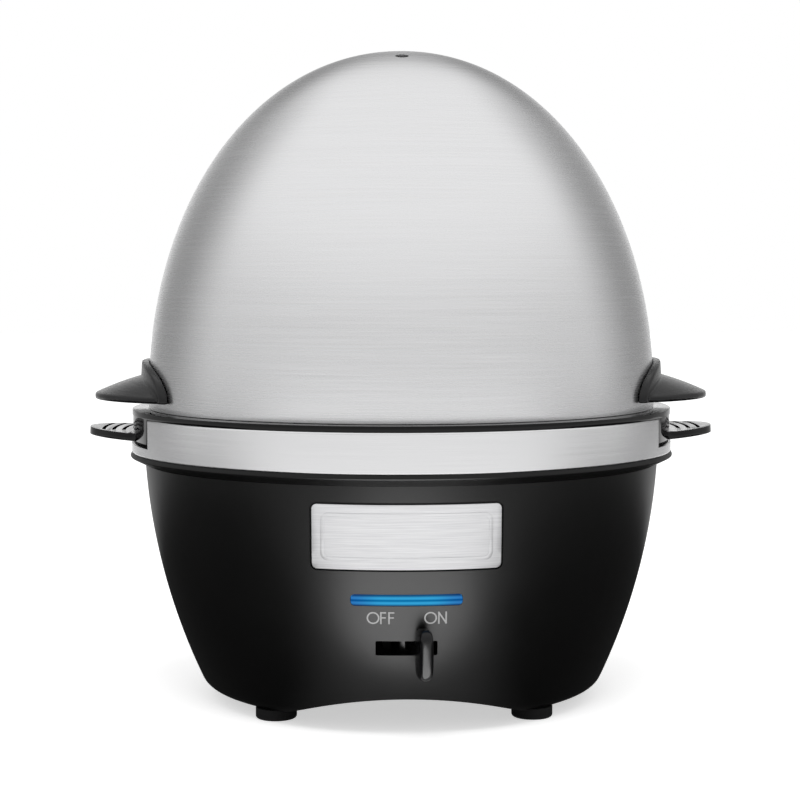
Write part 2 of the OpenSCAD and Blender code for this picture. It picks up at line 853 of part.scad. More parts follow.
module switch_lever() {
    arm_h = slot_h - 2 * arm_gap;
    hub_low_z = bracket_low_z + hub_gap;
    hub_high_z = bracket_high_z - hub_gap;
    tail_z = fork_high_z + fork_gap;
    color(black_plastic)
        translate([0, pivot_y, 0])
            rotate(lever_throw)
                difference() {
                    union() {
                        translate([0, 0, hub_low_z]) cylinder(r = hub_r, h = hub_high_z - hub_low_z);
                        translate([-arm_w / 2, -pivot_depth - paddle_out, slot_mid_z - arm_h / 2])
                            cube([arm_w, pivot_depth + paddle_out, arm_h]);
                        translate([-peg_r - cut, 0, tail_z]) cube([2 * (peg_r + cut), tail_r, tail_t]);
                        translate([0, tail_r, fork_low_z])
                            cylinder(r = peg_r, h = tail_z - fork_low_z + cut);
                        translate([0, tail_r, tail_z]) cylinder(r = peg_r + cut, h = tail_t);
                        lever_paddle();
                    }
                    translate([0, 0, hub_low_z - cut])
                        cylinder(r = pin_r + pin_gap, h = hub_high_z - hub_low_z + 2 * cut);
                }
}

// Ring between the pan's rim and the ledge
module plate_seal() {
    color("#b5482f")
        translate([0, 0, ledge_z])
            difference() {
                cylinder(r = pan_rim_r, h = seal_t);
                translate([0, 0, -cut]) cylinder(r = pan_rim_r - seal_w, h = seal_t + 2 * cut);
            }
}

// Shallow water pan with its studs and the strap for the fuse
module heating_plate() {
    stud_z = shield_z - nut_h - stud_end;
    color("#c9cacc") {
        rotate_extrude()
            polygon([
                [0, pan_floor_z], [pan_floor_r + pan_t, pan_floor_z],
                [pan_mouth_r + pan_t, pan_rim_z], [pan_rim_r, pan_rim_z],
                [pan_rim_r, pan_rim_z + pan_t], [pan_mouth_r, pan_rim_z + pan_t],
                [pan_floor_r, pan_floor_z + pan_t], [0, pan_floor_z + pan_t]
            ]);
        at_pan_studs()
            translate([0, 0, stud_z]) cylinder(r = stud_r, h = pan_floor_z - stud_z + seat);
        at_thermostat_studs()
            translate([0, 0, pan_floor_z - flange_plate_t - nut_h - stud_end])
                cylinder(r = small_stud_r, h = flange_plate_t + nut_h + stud_end + seat);
        translate([fuse_x, 0, pan_floor_z - fuse_r - strap_t])
            rotate([90, 0, 0])
                difference() {
                    cylinder(r = fuse_r + strap_t + seat, h = strap_l, center = true);
                    cylinder(r = fuse_r + seat, h = strap_l + 2 * cut, center = true);
                }
    }
}

// Tube heater brazed under the pan, with its two ends turned down
module heating_element() {
    leg_l = lug_drop / 2;
    leg_turn = asin(element_r / element_ring_r);
    color("#8d8f92")
        translate([0, 0, pan_floor_z - element_r - seat]) {
            rotate(90 + element_gap_angle / 2)
                rotate_extrude(angle = 360 - element_gap_angle)
                    translate([element_ring_r, 0]) circle(element_r);
            for (turn = [-1, 1])
                rotate(90 + turn * (element_gap_angle / 2 + leg_turn))
                    translate([element_ring_r, 0, -leg_l]) cylinder(r = element_r / 2, h = leg_l);
        }
}

module thermostat() {
    ear_r = small_stud_r + screw_gap + boss_t;
    color("#d8d4c8")
        translate([0, 0, pan_floor_z - flange_plate_t])
            difference() {
                union() {
                    translate([0, 0, flange_plate_t - thermostat_h])
                        cylinder(r = thermostat_r, h = thermostat_h);
                    translate([-thermostat_stud_x, -ear_r, 0])
                        cube([2 * thermostat_stud_x, 2 * ear_r, flange_plate_t]);
                    at_thermostat_studs() cylinder(r = ear_r, h = flange_plate_t);
                }
                at_thermostat_studs()
                    translate([0, 0, -cut])
                        cylinder(r = small_stud_r + screw_gap, h = flange_plate_t + 2 * cut);
            }
}

module thermostat_nuts() {
    color(steel)
        at_thermostat_studs() translate([0, 0, pan_floor_z - flange_plate_t - nut_h]) nut(small_stud_r);
}

module thermal_fuse() {
    body_l = 2 * strap_l;
    lead_l = strap_l / 2;
    color("#c8b98a")
        translate([fuse_x, 0, pan_floor_z - fuse_r - strap_t])
            rotate([90, 0, 0]) {
                cylinder(r = fuse_r, h = body_l, center = true);
                cylinder(r = fuse_r / 4, h = body_l + 2 * lead_l, center = true);
            }
}

// Sheet under the heater, clamped to the housing's lugs by the pan's nuts
module heat_shield() {
    color("#b4b6b8")
        difference() {
            translate([0, 0, shield_z]) cylinder(r = shield_r, h = shield_t);
            at_pan_studs()
                translate([0, 0, shield_z - cut])
                    cylinder(r = stud_r + screw_gap, h = shield_t + 2 * cut);
            translate([0, element_ring_r, shield_z - cut])
                cylinder(r = 2 * element_r, h = shield_t + 2 * cut);
        }
}

module shield_nuts() {
    color(steel) at_pan_studs() translate([0, 0, shield_z - nut_h]) nut(stud_r);
}

// Bottom cover with vents, set up into the housing
module bottom_cover() {
    vent_w = 3;
    vent_count = 5;
    vent_pitch = 8;
    color(black_plastic)
        difference() {
            translate([0, 0, cover_z]) cylinder(r = cover_r, h = cover_t);
            at_cover_screws()
                translate([0, 0, cover_z - cut]) cylinder(r = screw_hole_r, h = cover_t + 2 * cut);
            for (i = [0:vent_count - 1])
                translate([(i - (vent_count - 1) / 2) * vent_pitch, 0, cover_z + cover_t / 2])
                    cube([vent_w, cover_r - cover_ledge, cover_t + 2 * cut], center = true);
        }
}

module cover_screws() {
    color(steel)
        at_cover_screws() translate([0, 0, cover_z]) screw(cover_t + cover_ledge_t + cover_boss_h / 2);
}

// Rubber foot with a stem that pushes into the housing
module foot(x, y) {
    edge = foot_h / 5;
    color(rubber_black)
        translate([x * foot_x, y * foot_y, 0])
            rotate_extrude()
                polygon([
                    [0, 0], [foot_r - edge, 0], [foot_r, edge], [foot_r, foot_h], [foot_stem_r, foot_h],
                    [foot_stem_r, foot_h + foot_stem_h], [0, foot_h + foot_stem_h]
                ]);
}

module foot_front_left() { foot(-1, -1); }
module foot_front_right() { foot(1, -1); }
module foot_rear_left() { foot(-1, 1); }
module foot_rear_right() { foot(1, 1); }

// Snap-in gland for the mains lead
module cord_gland() {
    neck_l = gland_pad_t + 2 * seat;
    gland_l = gland_lip_t + gland_pad_t + gland_flange_t;
    color(rubber_black)
        translate([0, gland_seat_y, gland_mid_z])
            rotate([-90, 0, 0])
                difference() {
                    union() {
                        translate([0, 0, seat]) cylinder(r = gland_flange_r, h = gland_flange_t);
                        translate([0, 0, seat - neck_l]) cylinder(r = gland_r, h = neck_l);
                        translate([0, 0, seat - neck_l - gland_lip_t])
                            cylinder(r = gland_lip_r, h = gland_lip_t);
                    }
                    translate([0, 0, -gland_pad_t - gland_lip_t - cut])
                        cylinder(r = gland_bore_r, h = gland_l + 2 * cut);
                }
}

// Egg tray: flange, rib, well with its holes, and a carrying handle at each side
module tray_holes() {
    for (i = [0:egg_count - 1])
        rotate((i + 0.5) * 360 / egg_count) translate([egg_ring_r, 0]) circle(egg_hole_r);
    for (side = [-1, 1]) translate([side * egg_inner_x, 0]) circle(egg_hole_r);
}

module tray_bowl() {
    rotate_extrude()
        polygon([
            [0, tray_floor_z], [well_r, tray_floor_z], [well_r, band_top_z], [flange_r, band_top_z],
            [flange_r, tray_top_z], [rib_r, tray_top_z], [rib_r, tray_top_z + rib_h],
            [rib_r - rib_t, tray_top_z + rib_h], [rib_r - rib_t, tray_top_z],
            [well_r - tray_t, tray_top_z],
            [well_r - tray_t, tray_floor_z + tray_t], [0, tray_floor_z + tray_t]
        ]);
}

module lobe_outline(inset) {
    intersection() {
        translate([tray_lobe_x, 0]) circle(tray_lobe_r - inset);
        translate([0, -web_w / 2 + inset]) square([far, web_w - 2 * inset]);
    }
}

module ring_outline(mid_r, width) {
    difference() {
        circle(mid_r + width / 2);
        circle(mid_r - width / 2);
    }
}

module tray_handle() {
    translate([web_mid_r, 0, tray_handle_z])
        rotate([0, -tray_handle_tilt, 0])
            translate([-web_mid_r, 0, 0])
                linear_extrude(tray_handle_t)
                    difference() {
                        lobe_outline(0);
                        circle(web_mid_r);
                        for (i = [0:grip_slots - 1])
                            intersection() {
                                lobe_outline(grip_border);
                                ring_outline(rim_r + grip_first + i * grip_pitch, grip_slot_w);
                            }
                    }
    translate([0, 0, tray_handle_z])
        linear_extrude(band_top_z - tray_handle_z + flange_t / 2)
            intersection() {
                ring_outline(web_mid_r, web_t);
                translate([0, -web_w / 2]) square([far, web_w]);
            }
}

module egg_tray() {
    color(black_plastic)
        difference() {
            union() {
                tray_bowl();
                tray_handle();
                mirror([1, 0, 0]) tray_handle();
            }
            translate([0, 0, tray_floor_z - cut]) linear_extrude(tray_t + 2 * cut) tray_holes();
        }
}

// The lid's outside, grown by a thickness
module dome_solid(grow) {
    a = lid_r + grow;
    b = dome_rise + grow;
    power = 2 / dome_power;
    rotate_extrude()
        polygon(concat(
            [[0, tray_top_z], [a, tray_top_z]],
            [for (i = [0:dome_steps - 1])
                let (turn = 90 * i / dome_steps)
                [a * pow(cos(turn), power), dome_base_z + b * pow(sin(turn), power)]],
            [[crown_flat, dome_base_z + b], [0, dome_base_z + b]]
        ));
}

module lid_dome() {
    color(steel)
        difference() {
            dome_solid(0);
            difference() {
                dome_solid(-lid_t);
                translate([0, 0, tray_top_z - cut]) cylinder(r = far, h = cut);
            }
            translate([0, -steam_y, dome_z(steam_y)])
                rotate([dome_slope(steam_y), 0, 0])
                    cylinder(r = steam_r, h = steam_cut, center = true);
            at_handle_screws() cylinder(r = screw_hole_r, h = far);
        }
}

// Lid handle: a crowned wing and a pad that follows the dome
module lid_handle() {
    difference() {
        union() {
            intersection() {
                translate([wing_x, 0, wing_z]) cylinder(r = wing_r, h = wing_crown_r);
                translate([wing_x, 0, wing_crown_z]) sphere(wing_crown_r);
                translate([lid_r / 2, -far / 2, 0]) cube([far, far, far]);
            }
            intersection() {
                dome_solid(handle_gap + pad_t);
                translate([lid_r / 2, 0, wing_z])
                    rotate([90, 0, 90])
                        linear_extrude(lid_r)
                            polygon([for (a = [0:7.5:180]) pad_point(a)]);
            }
        }
        dome_solid(handle_gap);
        at_handle_screws() cylinder(r = screw_hole_r, h = lid_r + screw_len + screw_gap);
    }
}

module lid_handle_left() {
    color(black_plastic) mirror([1, 0, 0]) lid_handle();
}

module lid_handle_right() {
    color(black_plastic) lid_handle();
}

module lid_handle_screws() {
    color(steel)
        at_handle_screws()
            translate([0, 0, washer_seat_r - washer_t])
                screw(lid_r + screw_len - washer_seat_r + washer_t);
}

module lid_handle_washers() {
    color(steel)
        at_handle_screws()
            translate([0, 0, washer_seat_r - washer_t])
                difference() {
                    cylinder(r = washer_r, h = washer_t);
                    translate([0, 0, -cut]) cylinder(r = screw_hole_r, h = washer_t + 2 * cut);
                }
}

base_housing();
trim_band();
badge_plate();
light_lens();
led_board();
leds();
board_screws();
buzzer();
switch_bracket();
bracket_screws();
lever_pivot_pin();
power_switch();
switch_slider();
switch_lever();
plate_seal();
heating_plate();
heating_element();
thermostat();
thermostat_nuts();
thermal_fuse();
heat_shield();
shield_nuts();
bottom_cover();
cover_screws();
foot_front_left();
foot_front_right();
foot_rear_left();
foot_rear_right();
cord_gland();
egg_tray();
lid_dome();
lid_handle_left();
lid_handle_right();
lid_handle_screws();
lid_handle_washers();
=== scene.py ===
import math

import bpy
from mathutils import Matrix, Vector


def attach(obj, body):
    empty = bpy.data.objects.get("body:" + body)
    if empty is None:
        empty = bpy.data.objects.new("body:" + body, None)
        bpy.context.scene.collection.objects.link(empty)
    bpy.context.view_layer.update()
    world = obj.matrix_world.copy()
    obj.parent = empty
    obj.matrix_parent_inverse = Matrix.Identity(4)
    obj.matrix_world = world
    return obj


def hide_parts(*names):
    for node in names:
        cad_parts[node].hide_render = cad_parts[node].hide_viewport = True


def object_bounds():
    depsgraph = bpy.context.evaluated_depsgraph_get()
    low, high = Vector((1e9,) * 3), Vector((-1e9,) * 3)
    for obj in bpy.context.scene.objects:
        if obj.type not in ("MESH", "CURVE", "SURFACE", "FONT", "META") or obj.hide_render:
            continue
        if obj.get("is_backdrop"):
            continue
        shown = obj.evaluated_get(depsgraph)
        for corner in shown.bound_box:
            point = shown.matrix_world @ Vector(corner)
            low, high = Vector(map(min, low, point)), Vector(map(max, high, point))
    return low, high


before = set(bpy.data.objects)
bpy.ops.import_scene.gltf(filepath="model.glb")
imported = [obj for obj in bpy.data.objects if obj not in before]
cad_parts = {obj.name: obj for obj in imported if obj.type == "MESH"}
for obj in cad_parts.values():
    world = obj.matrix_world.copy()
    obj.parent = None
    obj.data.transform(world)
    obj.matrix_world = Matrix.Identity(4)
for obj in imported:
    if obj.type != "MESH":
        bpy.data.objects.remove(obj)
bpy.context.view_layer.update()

# Base housing. One injection moulding in black ABS: a bowl with a lip that carries the steel band and
# an arch under its middle, so that it stands on its feet. Plate, light and switch sit in its front.
MM = 0.001
FOOT_H = 3.6
WALL = 2.4
CORNER_R = 6
SIDE_ARC_R = 202.5
SIDE_X = -115.8
SIDE_Z = 92.2
CORNER_Z = FOOT_H + CORNER_R
CORNER_X = SIDE_X + math.sqrt((SIDE_ARC_R - CORNER_R) ** 2 - (SIDE_Z - CORNER_Z) ** 2)
LIP_UNDER_Z = 79.0
LIP_Z = 82.9
LIP_EDGE = 1.4
LIP_R = 91.4
RIM_R = 90.75
LEDGE_Z = 80.8
NECK_R = 89.85
NECK_IN_R = 86.85
NECK_TOP_Z = 94.6
ARCH_R = 97.46
ARCH_TOP_Z = 11.7
HATCH_R = 46
HATCH_Z = 15
HATCH_LEDGE_Z = 17.5
HATCH_LEDGE = 6
NOTCH_W = 79
NOTCH_Z = 86
NOTCH_FROM = 60
NOTCH_TO = 120
NOTCH_TALL = 40
FAR = 200


def linear(colour):
    """An sRGB hex colour as the linear values that a shader takes."""
    parts = [int(colour[i:i + 2], 16) / 255 for i in (1, 3, 5)]
    return [p / 12.92 if p <= 0.04045 else ((p + 0.055) / 1.055) ** 2.4 for p in parts] + [1]


def add_node(tree, kind, settings=None, inputs=None):
    """Adds a node to a tree with its settings, and with a value or a link on each named input."""
    node = tree.nodes.new(kind)
    for name, value in (settings or {}).items():
        setattr(node, name, value)
    for name, value in (inputs or {}).items():
        if isinstance(value, bpy.types.NodeSocket):
            tree.links.new(value, node.inputs[name])
        else:
            node.inputs[name].default_value = value
    return node


def new_finish(name):
    """An empty material and its node tree."""
    finish = bpy.data.materials.new(name)
    finish.use_nodes = True
    finish.node_tree.nodes.clear()
    return finish, finish.node_tree


def side_r(z, out=0):
    """Radius of the side wall at a height, or of a surface that far outside it."""
    return SIDE_X + math.sqrt((SIDE_ARC_R + out) ** 2 - (z - SIDE_Z) ** 2)


def arc(x, z, radius, start, end, steps):
    """Points along an arc of an outline."""
    turns = [start + (end - start) * i / steps for i in range(steps + 1)]
    return [(x + radius * math.cos(t), z + radius * math.sin(t)) for t in turns]


def wall_outline(out, top):
    """The side wall's outline from the middle of the underside up to a height."""
    join = math.atan2(CORNER_Z - SIDE_Z, CORNER_X - SIDE_X)
    end = math.asin((top - SIDE_Z) / (SIDE_ARC_R + out))
    corner = arc(CORNER_X, CORNER_Z, CORNER_R + out, -math.pi / 2, join, 10)
    side = arc(SIDE_X, SIDE_Z, SIDE_ARC_R + out, join, end, 28)
    return [(0, FOOT_H - out)] + corner + side[1:]


def eased(outline, steps=4):
    """An outline whose points with a third value become round corners of that radius."""
    points = []
    for i, point in enumerate(outline):
        here = Vector(point[:2])
        if len(point) == 2:
            points.append(here)
            continue
        back = (Vector(outline[i - 1][:2]) - here).normalized()
        on = (Vector(outline[(i + 1) % len(outline)][:2]) - here).normalized()
        half = back.angle(on) / 2
        middle = here + (back + on).normalized() * point[2] / math.sin(half)
        first = here + back * point[2] / math.tan(half) - middle
        last = here + on * point[2] / math.tan(half) - middle
        points += [middle + first.lerp(last, t / steps).normalized() * point[2]
                   for t in range(steps + 1)]
    return points


def turned(name, outline, steps=256):
    """A shape turned round the middle line from an outline of radii and heights in millimetres."""
    bpy.ops.object.select_all(action="DESELECT")
    bpy.ops.mesh.primitive_plane_add(size=MM)
    piece = bpy.context.object
    piece.name = name
    places = [Vector((r, 0, z)) * MM for r, z in eased(outline)]
    bpy.ops.object.mode_set(mode="EDIT")
    bpy.ops.mesh.select_mode(type="VERT")
    bpy.ops.mesh.select_all(action="SELECT")
    bpy.ops.mesh.merge(type="CENTER")
    bpy.ops.transform.translate(value=places[0])
    for a, b in zip(places, places[1:]):
        bpy.ops.mesh.extrude_region_move(TRANSFORM_OT_translate={"value": b - a})
    bpy.ops.mesh.select_all(action="SELECT")
    bpy.ops.mesh.remove_doubles(threshold=MM / 1000)
    bpy.ops.mesh.spin(steps=steps, angle=math.tau, center=(0, 0, 0), axis=(0, 0, 1))
    bpy.ops.mesh.select_all(action="SELECT")
    bpy.ops.mesh.remove_doubles(threshold=MM / 1000)
    bpy.ops.mesh.normals_make_consistent(inside=False)
    bpy.ops.object.mode_set(mode="OBJECT")
    return piece


def block(low, high):
    """A box between two corners in millimetres."""
    bpy.ops.object.select_all(action="DESELECT")
    middle = (Vector(low) + Vector(high)) / 2 * MM
    bpy.ops.mesh.primitive_cube_add(size=1, location=middle)
    piece = bpy.context.object
    piece.scale = (Vector(high) - Vector(low)) * MM
    bpy.ops.object.transform_apply()
    return piece


def rod(radius, start, end, sides=96):
    """A round bar between two points in millimetres."""
    bpy.ops.object.select_all(action="DESELECT")
    run = (Vector(end) - Vector(start)) * MM
    middle = (Vector(start) + Vector(end)) / 2 * MM
    bpy.ops.mesh.primitive_cylinder_add(
        vertices=sides, radius=radius * MM, depth=run.length, location=middle)
    piece = bpy.context.object
    piece.rotation_euler = run.to_track_quat("Z", "Y").to_euler()
    bpy.ops.object.transform_apply()
    return piece


def carve(piece, tool, way="DIFFERENCE"):
    """Cuts a piece by a tool shape, or joins or crosses the two, and takes the tool away."""
    bpy.context.view_layer.objects.active = piece
    step = piece.modifiers.new("carve", "BOOLEAN")
    step.operation = way
    step.object = tool
    bpy.ops.object.modifier_apply(modifier=step.name)
    bpy.data.objects.remove(tool)
    return piece


def smooth(piece, degrees=30):
    """Smooth shading across every edge flatter than an angle."""
    bpy.ops.object.select_all(action="DESELECT")
    piece.select_set(True)
    bpy.context.view_layer.objects.active = piece
    bpy.ops.object.shade_smooth_by_angle(angle=math.radians(degrees))


def fit(piece, finish, slot, body, *nodes):
    """Gives a piece its finish and its place on a body, where it stands for the solids named."""
    piece.data.materials.clear()
    piece.data.materials.append(finish)
    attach(piece, body)
    if nodes:
        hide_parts(*nodes)


def notch_tools():
    """The two gaps in the rim that the tray's handles pass through."""
    half = NOTCH_W / 2
    top = NOTCH_Z + NOTCH_TALL
    return [block((-NOTCH_TO, -half, NOTCH_Z), (-NOTCH_FROM, half, top)),
            block((NOTCH_FROM, -half, NOTCH_Z), (NOTCH_TO, half, top))]


hollow = turned("hollow", wall_outline(-WALL, LEDGE_Z) + [
    (NECK_IN_R, LEDGE_Z), (NECK_IN_R, NECK_TOP_Z + 1), (0, NECK_TOP_Z + 1)])
arch_axis = ARCH_TOP_Z - ARCH_R
carve(hollow, rod(ARCH_R + WALL, (0, -FAR, arch_axis), (0, FAR, arch_axis), 256))
carve(hollow, rod(HATCH_R + WALL, (0, 0, 0), (0, 0, HATCH_LEDGE_Z)))
housing = turned("housing", wall_outline(0, LIP_UNDER_Z) + [
    (LIP_R, LIP_Z - LIP_EDGE, 0.5), (RIM_R, LIP_Z), (NECK_R, LIP_Z),
    (NECK_R, NECK_TOP_Z, 0.4), (0, NECK_TOP_Z)])
GLAND_Z = 22
GLAND_SEAT_Y = 75.443
GLAND_SEAT_R = 8.6
GLAND_BOSS_Y = 66
GLAND_BOSS_R = 10.5
GLAND_HOLE_Y = 60
GLAND_HOLE_R = 6.1
carve(housing, rod(GLAND_BOSS_R, (0, GLAND_BOSS_Y, GLAND_Z), (0, GLAND_SEAT_Y + 1, GLAND_Z)), "UNION")
carve(housing, rod(GLAND_SEAT_R, (0, GLAND_SEAT_Y, GLAND_Z), (0, FAR, GLAND_Z)))
carve(housing, rod(GLAND_HOLE_R, (0, GLAND_HOLE_Y, GLAND_Z), (0, FAR, GLAND_Z)))
carve(housing, rod(ARCH_R, (0, -FAR, arch_axis), (0, FAR, arch_axis), 256))
carve(housing, hollow)
carve(housing, rod(HATCH_R, (0, 0, -1), (0, 0, HATCH_Z)))
carve(housing, rod(HATCH_R - HATCH_LEDGE, (0, 0, 0), (0, 0, HATCH_LEDGE_Z + 1)))
for notch in notch_tools():
    carve(housing, notch)

# Openings in the front: a shallow seat for the plate, a window for the light and a slot for the lever.
PANEL_GAP = 0.15
PLATE_Z = 63.6
PLATE_W = 56.8
PLATE_H = 19.8
PLATE_CORNER = 1.6
PLATE_GAP = 0.6
PLATE_SINK = 0.9
CORE_TOP_Z = 80
LIGHT_Z = 44.15
LIGHT_W = 33.6
LIGHT_H = 3.4
LIGHT_CORNER = 1.4
SLOT_Z = 28.8
SLOT_W = 18.8
SLOT_H = 4.7
SLOT_CORNER = 0.5


def front_bar(width, height, z, corner, steps):
    """A bar that stands out through the front wall, with its four long edges cut off or rounded."""
    bar = block((-width / 2, -FAR, z - height / 2), (width / 2, 0, z + height / 2))
    bpy.ops.object.mode_set(mode="EDIT")
    bpy.ops.mesh.select_all(action="DESELECT")
    bpy.ops.object.mode_set(mode="OBJECT")
    for edge in bar.data.edges:
        ends = [bar.data.vertices[v].co for v in edge.vertices]
        edge.select = abs(ends[0].y - ends[1].y) > FAR * MM / 2
    bpy.ops.object.mode_set(mode="EDIT")
    bpy.ops.mesh.select_mode(type="EDGE")
    bpy.ops.mesh.bevel(offset=corner * MM, segments=steps, affect="EDGES")
    bpy.ops.object.mode_set(mode="OBJECT")
    return bar


plate_seat = front_bar(
    PLATE_W + 2 * PLATE_GAP, PLATE_H + 2 * PLATE_GAP, PLATE_Z, PLATE_CORNER + PLATE_GAP, 8)
carve(plate_seat, turned("core", wall_outline(-PLATE_SINK, CORE_TOP_Z) + [(0, CORE_TOP_Z)]))
carve(housing, plate_seat)
light_window = front_bar(LIGHT_W + 2 * PANEL_GAP, LIGHT_H + 2 * PANEL_GAP, LIGHT_Z, LIGHT_CORNER, 6)
carve(housing, light_window)
carve(housing, front_bar(SLOT_W, SLOT_H, SLOT_Z, SLOT_CORNER, 3))
smooth(housing)

# ABS, moulded in a finely etched tool: near black, with a satin sheen that a faint grain breaks up.
# The real grain is about 0.1 mm and wouldn't show, so it is drawn at 0.35 mm.
black_abs, tree = new_finish("satin_black_abs")
place = add_node(tree, "ShaderNodeTexCoord")
grain = add_node(tree, "ShaderNodeTexNoise", {}, {
    "Vector": place.outputs["Object"], "Scale": 1 / (0.35 * MM), "Detail": 2})
haze = add_node(tree, "ShaderNodeTexNoise", {}, {
    "Vector": place.outputs["Object"], "Scale": 1 / (30 * MM), "Detail": 3})
sheen = add_node(tree, "ShaderNodeMapRange", {}, {
    "Value": haze.outputs["Fac"], "From Min": 0.3, "From Max": 0.7, "To Min": 0.36, "To Max": 0.42})
relief = add_node(tree, "ShaderNodeBump", {}, {
    "Height": grain.outputs["Fac"], "Strength": 0.12, "Distance": 0.02 * MM})
shader = add_node(tree, "ShaderNodeBsdfPrincipled", {}, {
    "Base Color": linear("#060606"), "Roughness": sheen.outputs["Result"], "IOR": 1.53,
    "Specular IOR Level": 0.25, "Normal": relief.outputs["Normal"]})
add_node(tree, "ShaderNodeOutputMaterial", {}, {"Surface": shader.outputs["BSDF"]})
fit(housing, black_abs, "black_plastic", "base", "base_housing")

# Feet. Four soft rubber buttons that keep the base off the table. Each is moulded in one piece,
# a little hollow underneath, and pushed by its stem into a hole under the housing.
FOOT_R = 6.6
FOOT_HOLLOW = 0.25
FOOT_RING = 1.6
FOOT_RING_TOE = 1.2
FOOT_STEM_R = 3.5
FOOT_STEM_TOP = 8.6
FOOT_X = 41
FOOT_Y = 42.3

# Rubber, moulded: dull black with a soft bloom and no clear reflections.
black_rubber, tree = new_finish("black_rubber")
place = add_node(tree, "ShaderNodeTexCoord")
grain = add_node(tree, "ShaderNodeTexNoise", {}, {
    "Vector": place.outputs["Object"], "Scale": 1 / (0.4 * MM), "Detail": 4})
bloom = add_node(tree, "ShaderNodeValToRGB", {}, {"Fac": grain.outputs["Fac"]})
bloom.color_ramp.elements[0].color = linear("#0f0f10")
bloom.color_ramp.elements[1].color = linear("#1b1b1c")
relief = add_node(tree, "ShaderNodeBump", {}, {
    "Height": grain.outputs["Fac"], "Strength": 0.25, "Distance": 0.05 * MM})
shader = add_node(tree, "ShaderNodeBsdfPrincipled", {}, {
    "Base Color": bloom.outputs["Color"], "Roughness": 0.72, "IOR": 1.52,
    "Specular IOR Level": 0.25, "Normal": relief.outputs["Normal"]})
add_node(tree, "ShaderNodeOutputMaterial", {}, {"Surface": shader.outputs["BSDF"]})

for name, across, along in (("front_left", -1, -1), ("front_right", 1, -1),
                            ("rear_left", -1, 1), ("rear_right", 1, 1)):
    foot = turned("rubber_" + name, [
        (0, FOOT_HOLLOW), (FOOT_R - FOOT_RING, FOOT_HOLLOW), (FOOT_R - FOOT_RING_TOE, 0),
        (FOOT_R, 0, 0.9), (FOOT_R, FOOT_H, 0.2), (FOOT_STEM_R, FOOT_H),
        (FOOT_STEM_R, FOOT_STEM_TOP, 0.8), (0, FOOT_STEM_TOP)], 64)
    foot.location = (across * FOOT_X * MM, along * FOOT_Y * MM, 0)
    bpy.ops.object.transform_apply()
    smooth(foot)
    fit(foot, black_rubber, "black_rubber", "base", "foot_" + name)

# Cord gland. A bush of the same rubber, through which the mains lead leaves the base. Its neck passes
# through the rear wall, and its barb snaps in behind.
GLAND_BORE_R = 3.6
GLAND_NECK_R = 6
GLAND_BARB_R = 7
GLAND_BARB_FROM = -12.05
GLAND_BARB_TO = -9.55
GLAND_COLLAR_R = 8.5
GLAND_COLLAR_FROM = 0.05
GLAND_COLLAR_TO = 2.55
gland = turned("gland_bush", [
    (GLAND_BORE_R, 0), (GLAND_BORE_R, GLAND_BARB_FROM, 0.4), (GLAND_BARB_R, GLAND_BARB_FROM, 0.6),
    (GLAND_BARB_R, GLAND_BARB_TO), (GLAND_NECK_R, GLAND_BARB_TO), (GLAND_NECK_R, GLAND_COLLAR_FROM),
    (GLAND_COLLAR_R, GLAND_COLLAR_FROM, 0.3), (GLAND_COLLAR_R, GLAND_COLLAR_TO, 0.9),
    (GLAND_BORE_R, GLAND_COLLAR_TO, 0.6), (GLAND_BORE_R, 0)], 64)
gland.rotation_euler = (-math.pi / 2, 0, 0)
gland.location = (0, GLAND_SEAT_Y * MM, GLAND_Z * MM)
bpy.ops.object.transform_apply()
smooth(gland)
fit(gland, black_rubber, "black_rubber", "base", "cord_gland")

# Bottom cover, and the black mouldings inside: buzzer, switch, its slider and the lever's bracket.
# The cover is a round ABS plate with vents, screwed up into the hatch.


def coat(finish, *nodes):
    """Gives a finish to solids that are shown as they are."""
    for node in nodes:
        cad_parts[node].data.materials.clear()
        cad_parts[node].data.materials.append(finish)


coat(black_abs, "bottom_cover", "buzzer", "power_switch", "switch_bracket", "switch_slider")

# Screws, nuts, washers and the lever's pin. Turned and pressed steel with a thin zinc plating.
# Zinc plate is a soft silver that clouds a little, so its gloss varies over a few millimetres.
zinc_plate, tree = new_finish("zinc_plated_steel")
place = add_node(tree, "ShaderNodeTexCoord")
cloud = add_node(tree, "ShaderNodeTexNoise", {}, {
    "Vector": place.outputs["Object"], "Scale": 1 / (1.5 * MM), "Detail": 3})
gloss = add_node(tree, "ShaderNodeMapRange", {}, {
    "Value": cloud.outputs["Fac"], "To Min": 0.22, "To Max": 0.42})
tint = add_node(tree, "ShaderNodeValToRGB", {}, {"Fac": cloud.outputs["Fac"]})
tint.color_ramp.elements[0].color = linear("#b4b8bd")
tint.color_ramp.elements[1].color = linear("#d2d4d6")
shader = add_node(tree, "ShaderNodeBsdfPrincipled", {}, {
    "Base Color": tint.outputs["Color"], "Metallic": 1, "Roughness": gloss.outputs["Result"]})
add_node(tree, "ShaderNodeOutputMaterial", {}, {"Surface": shader.outputs["BSDF"]})
coat(zinc_plate, "cover_screws", "board_screws", "bracket_screws", "lever_pivot_pin", "thermostat_nuts",
     "shield_nuts", "lid_handle_screws", "lid_handle_washers")

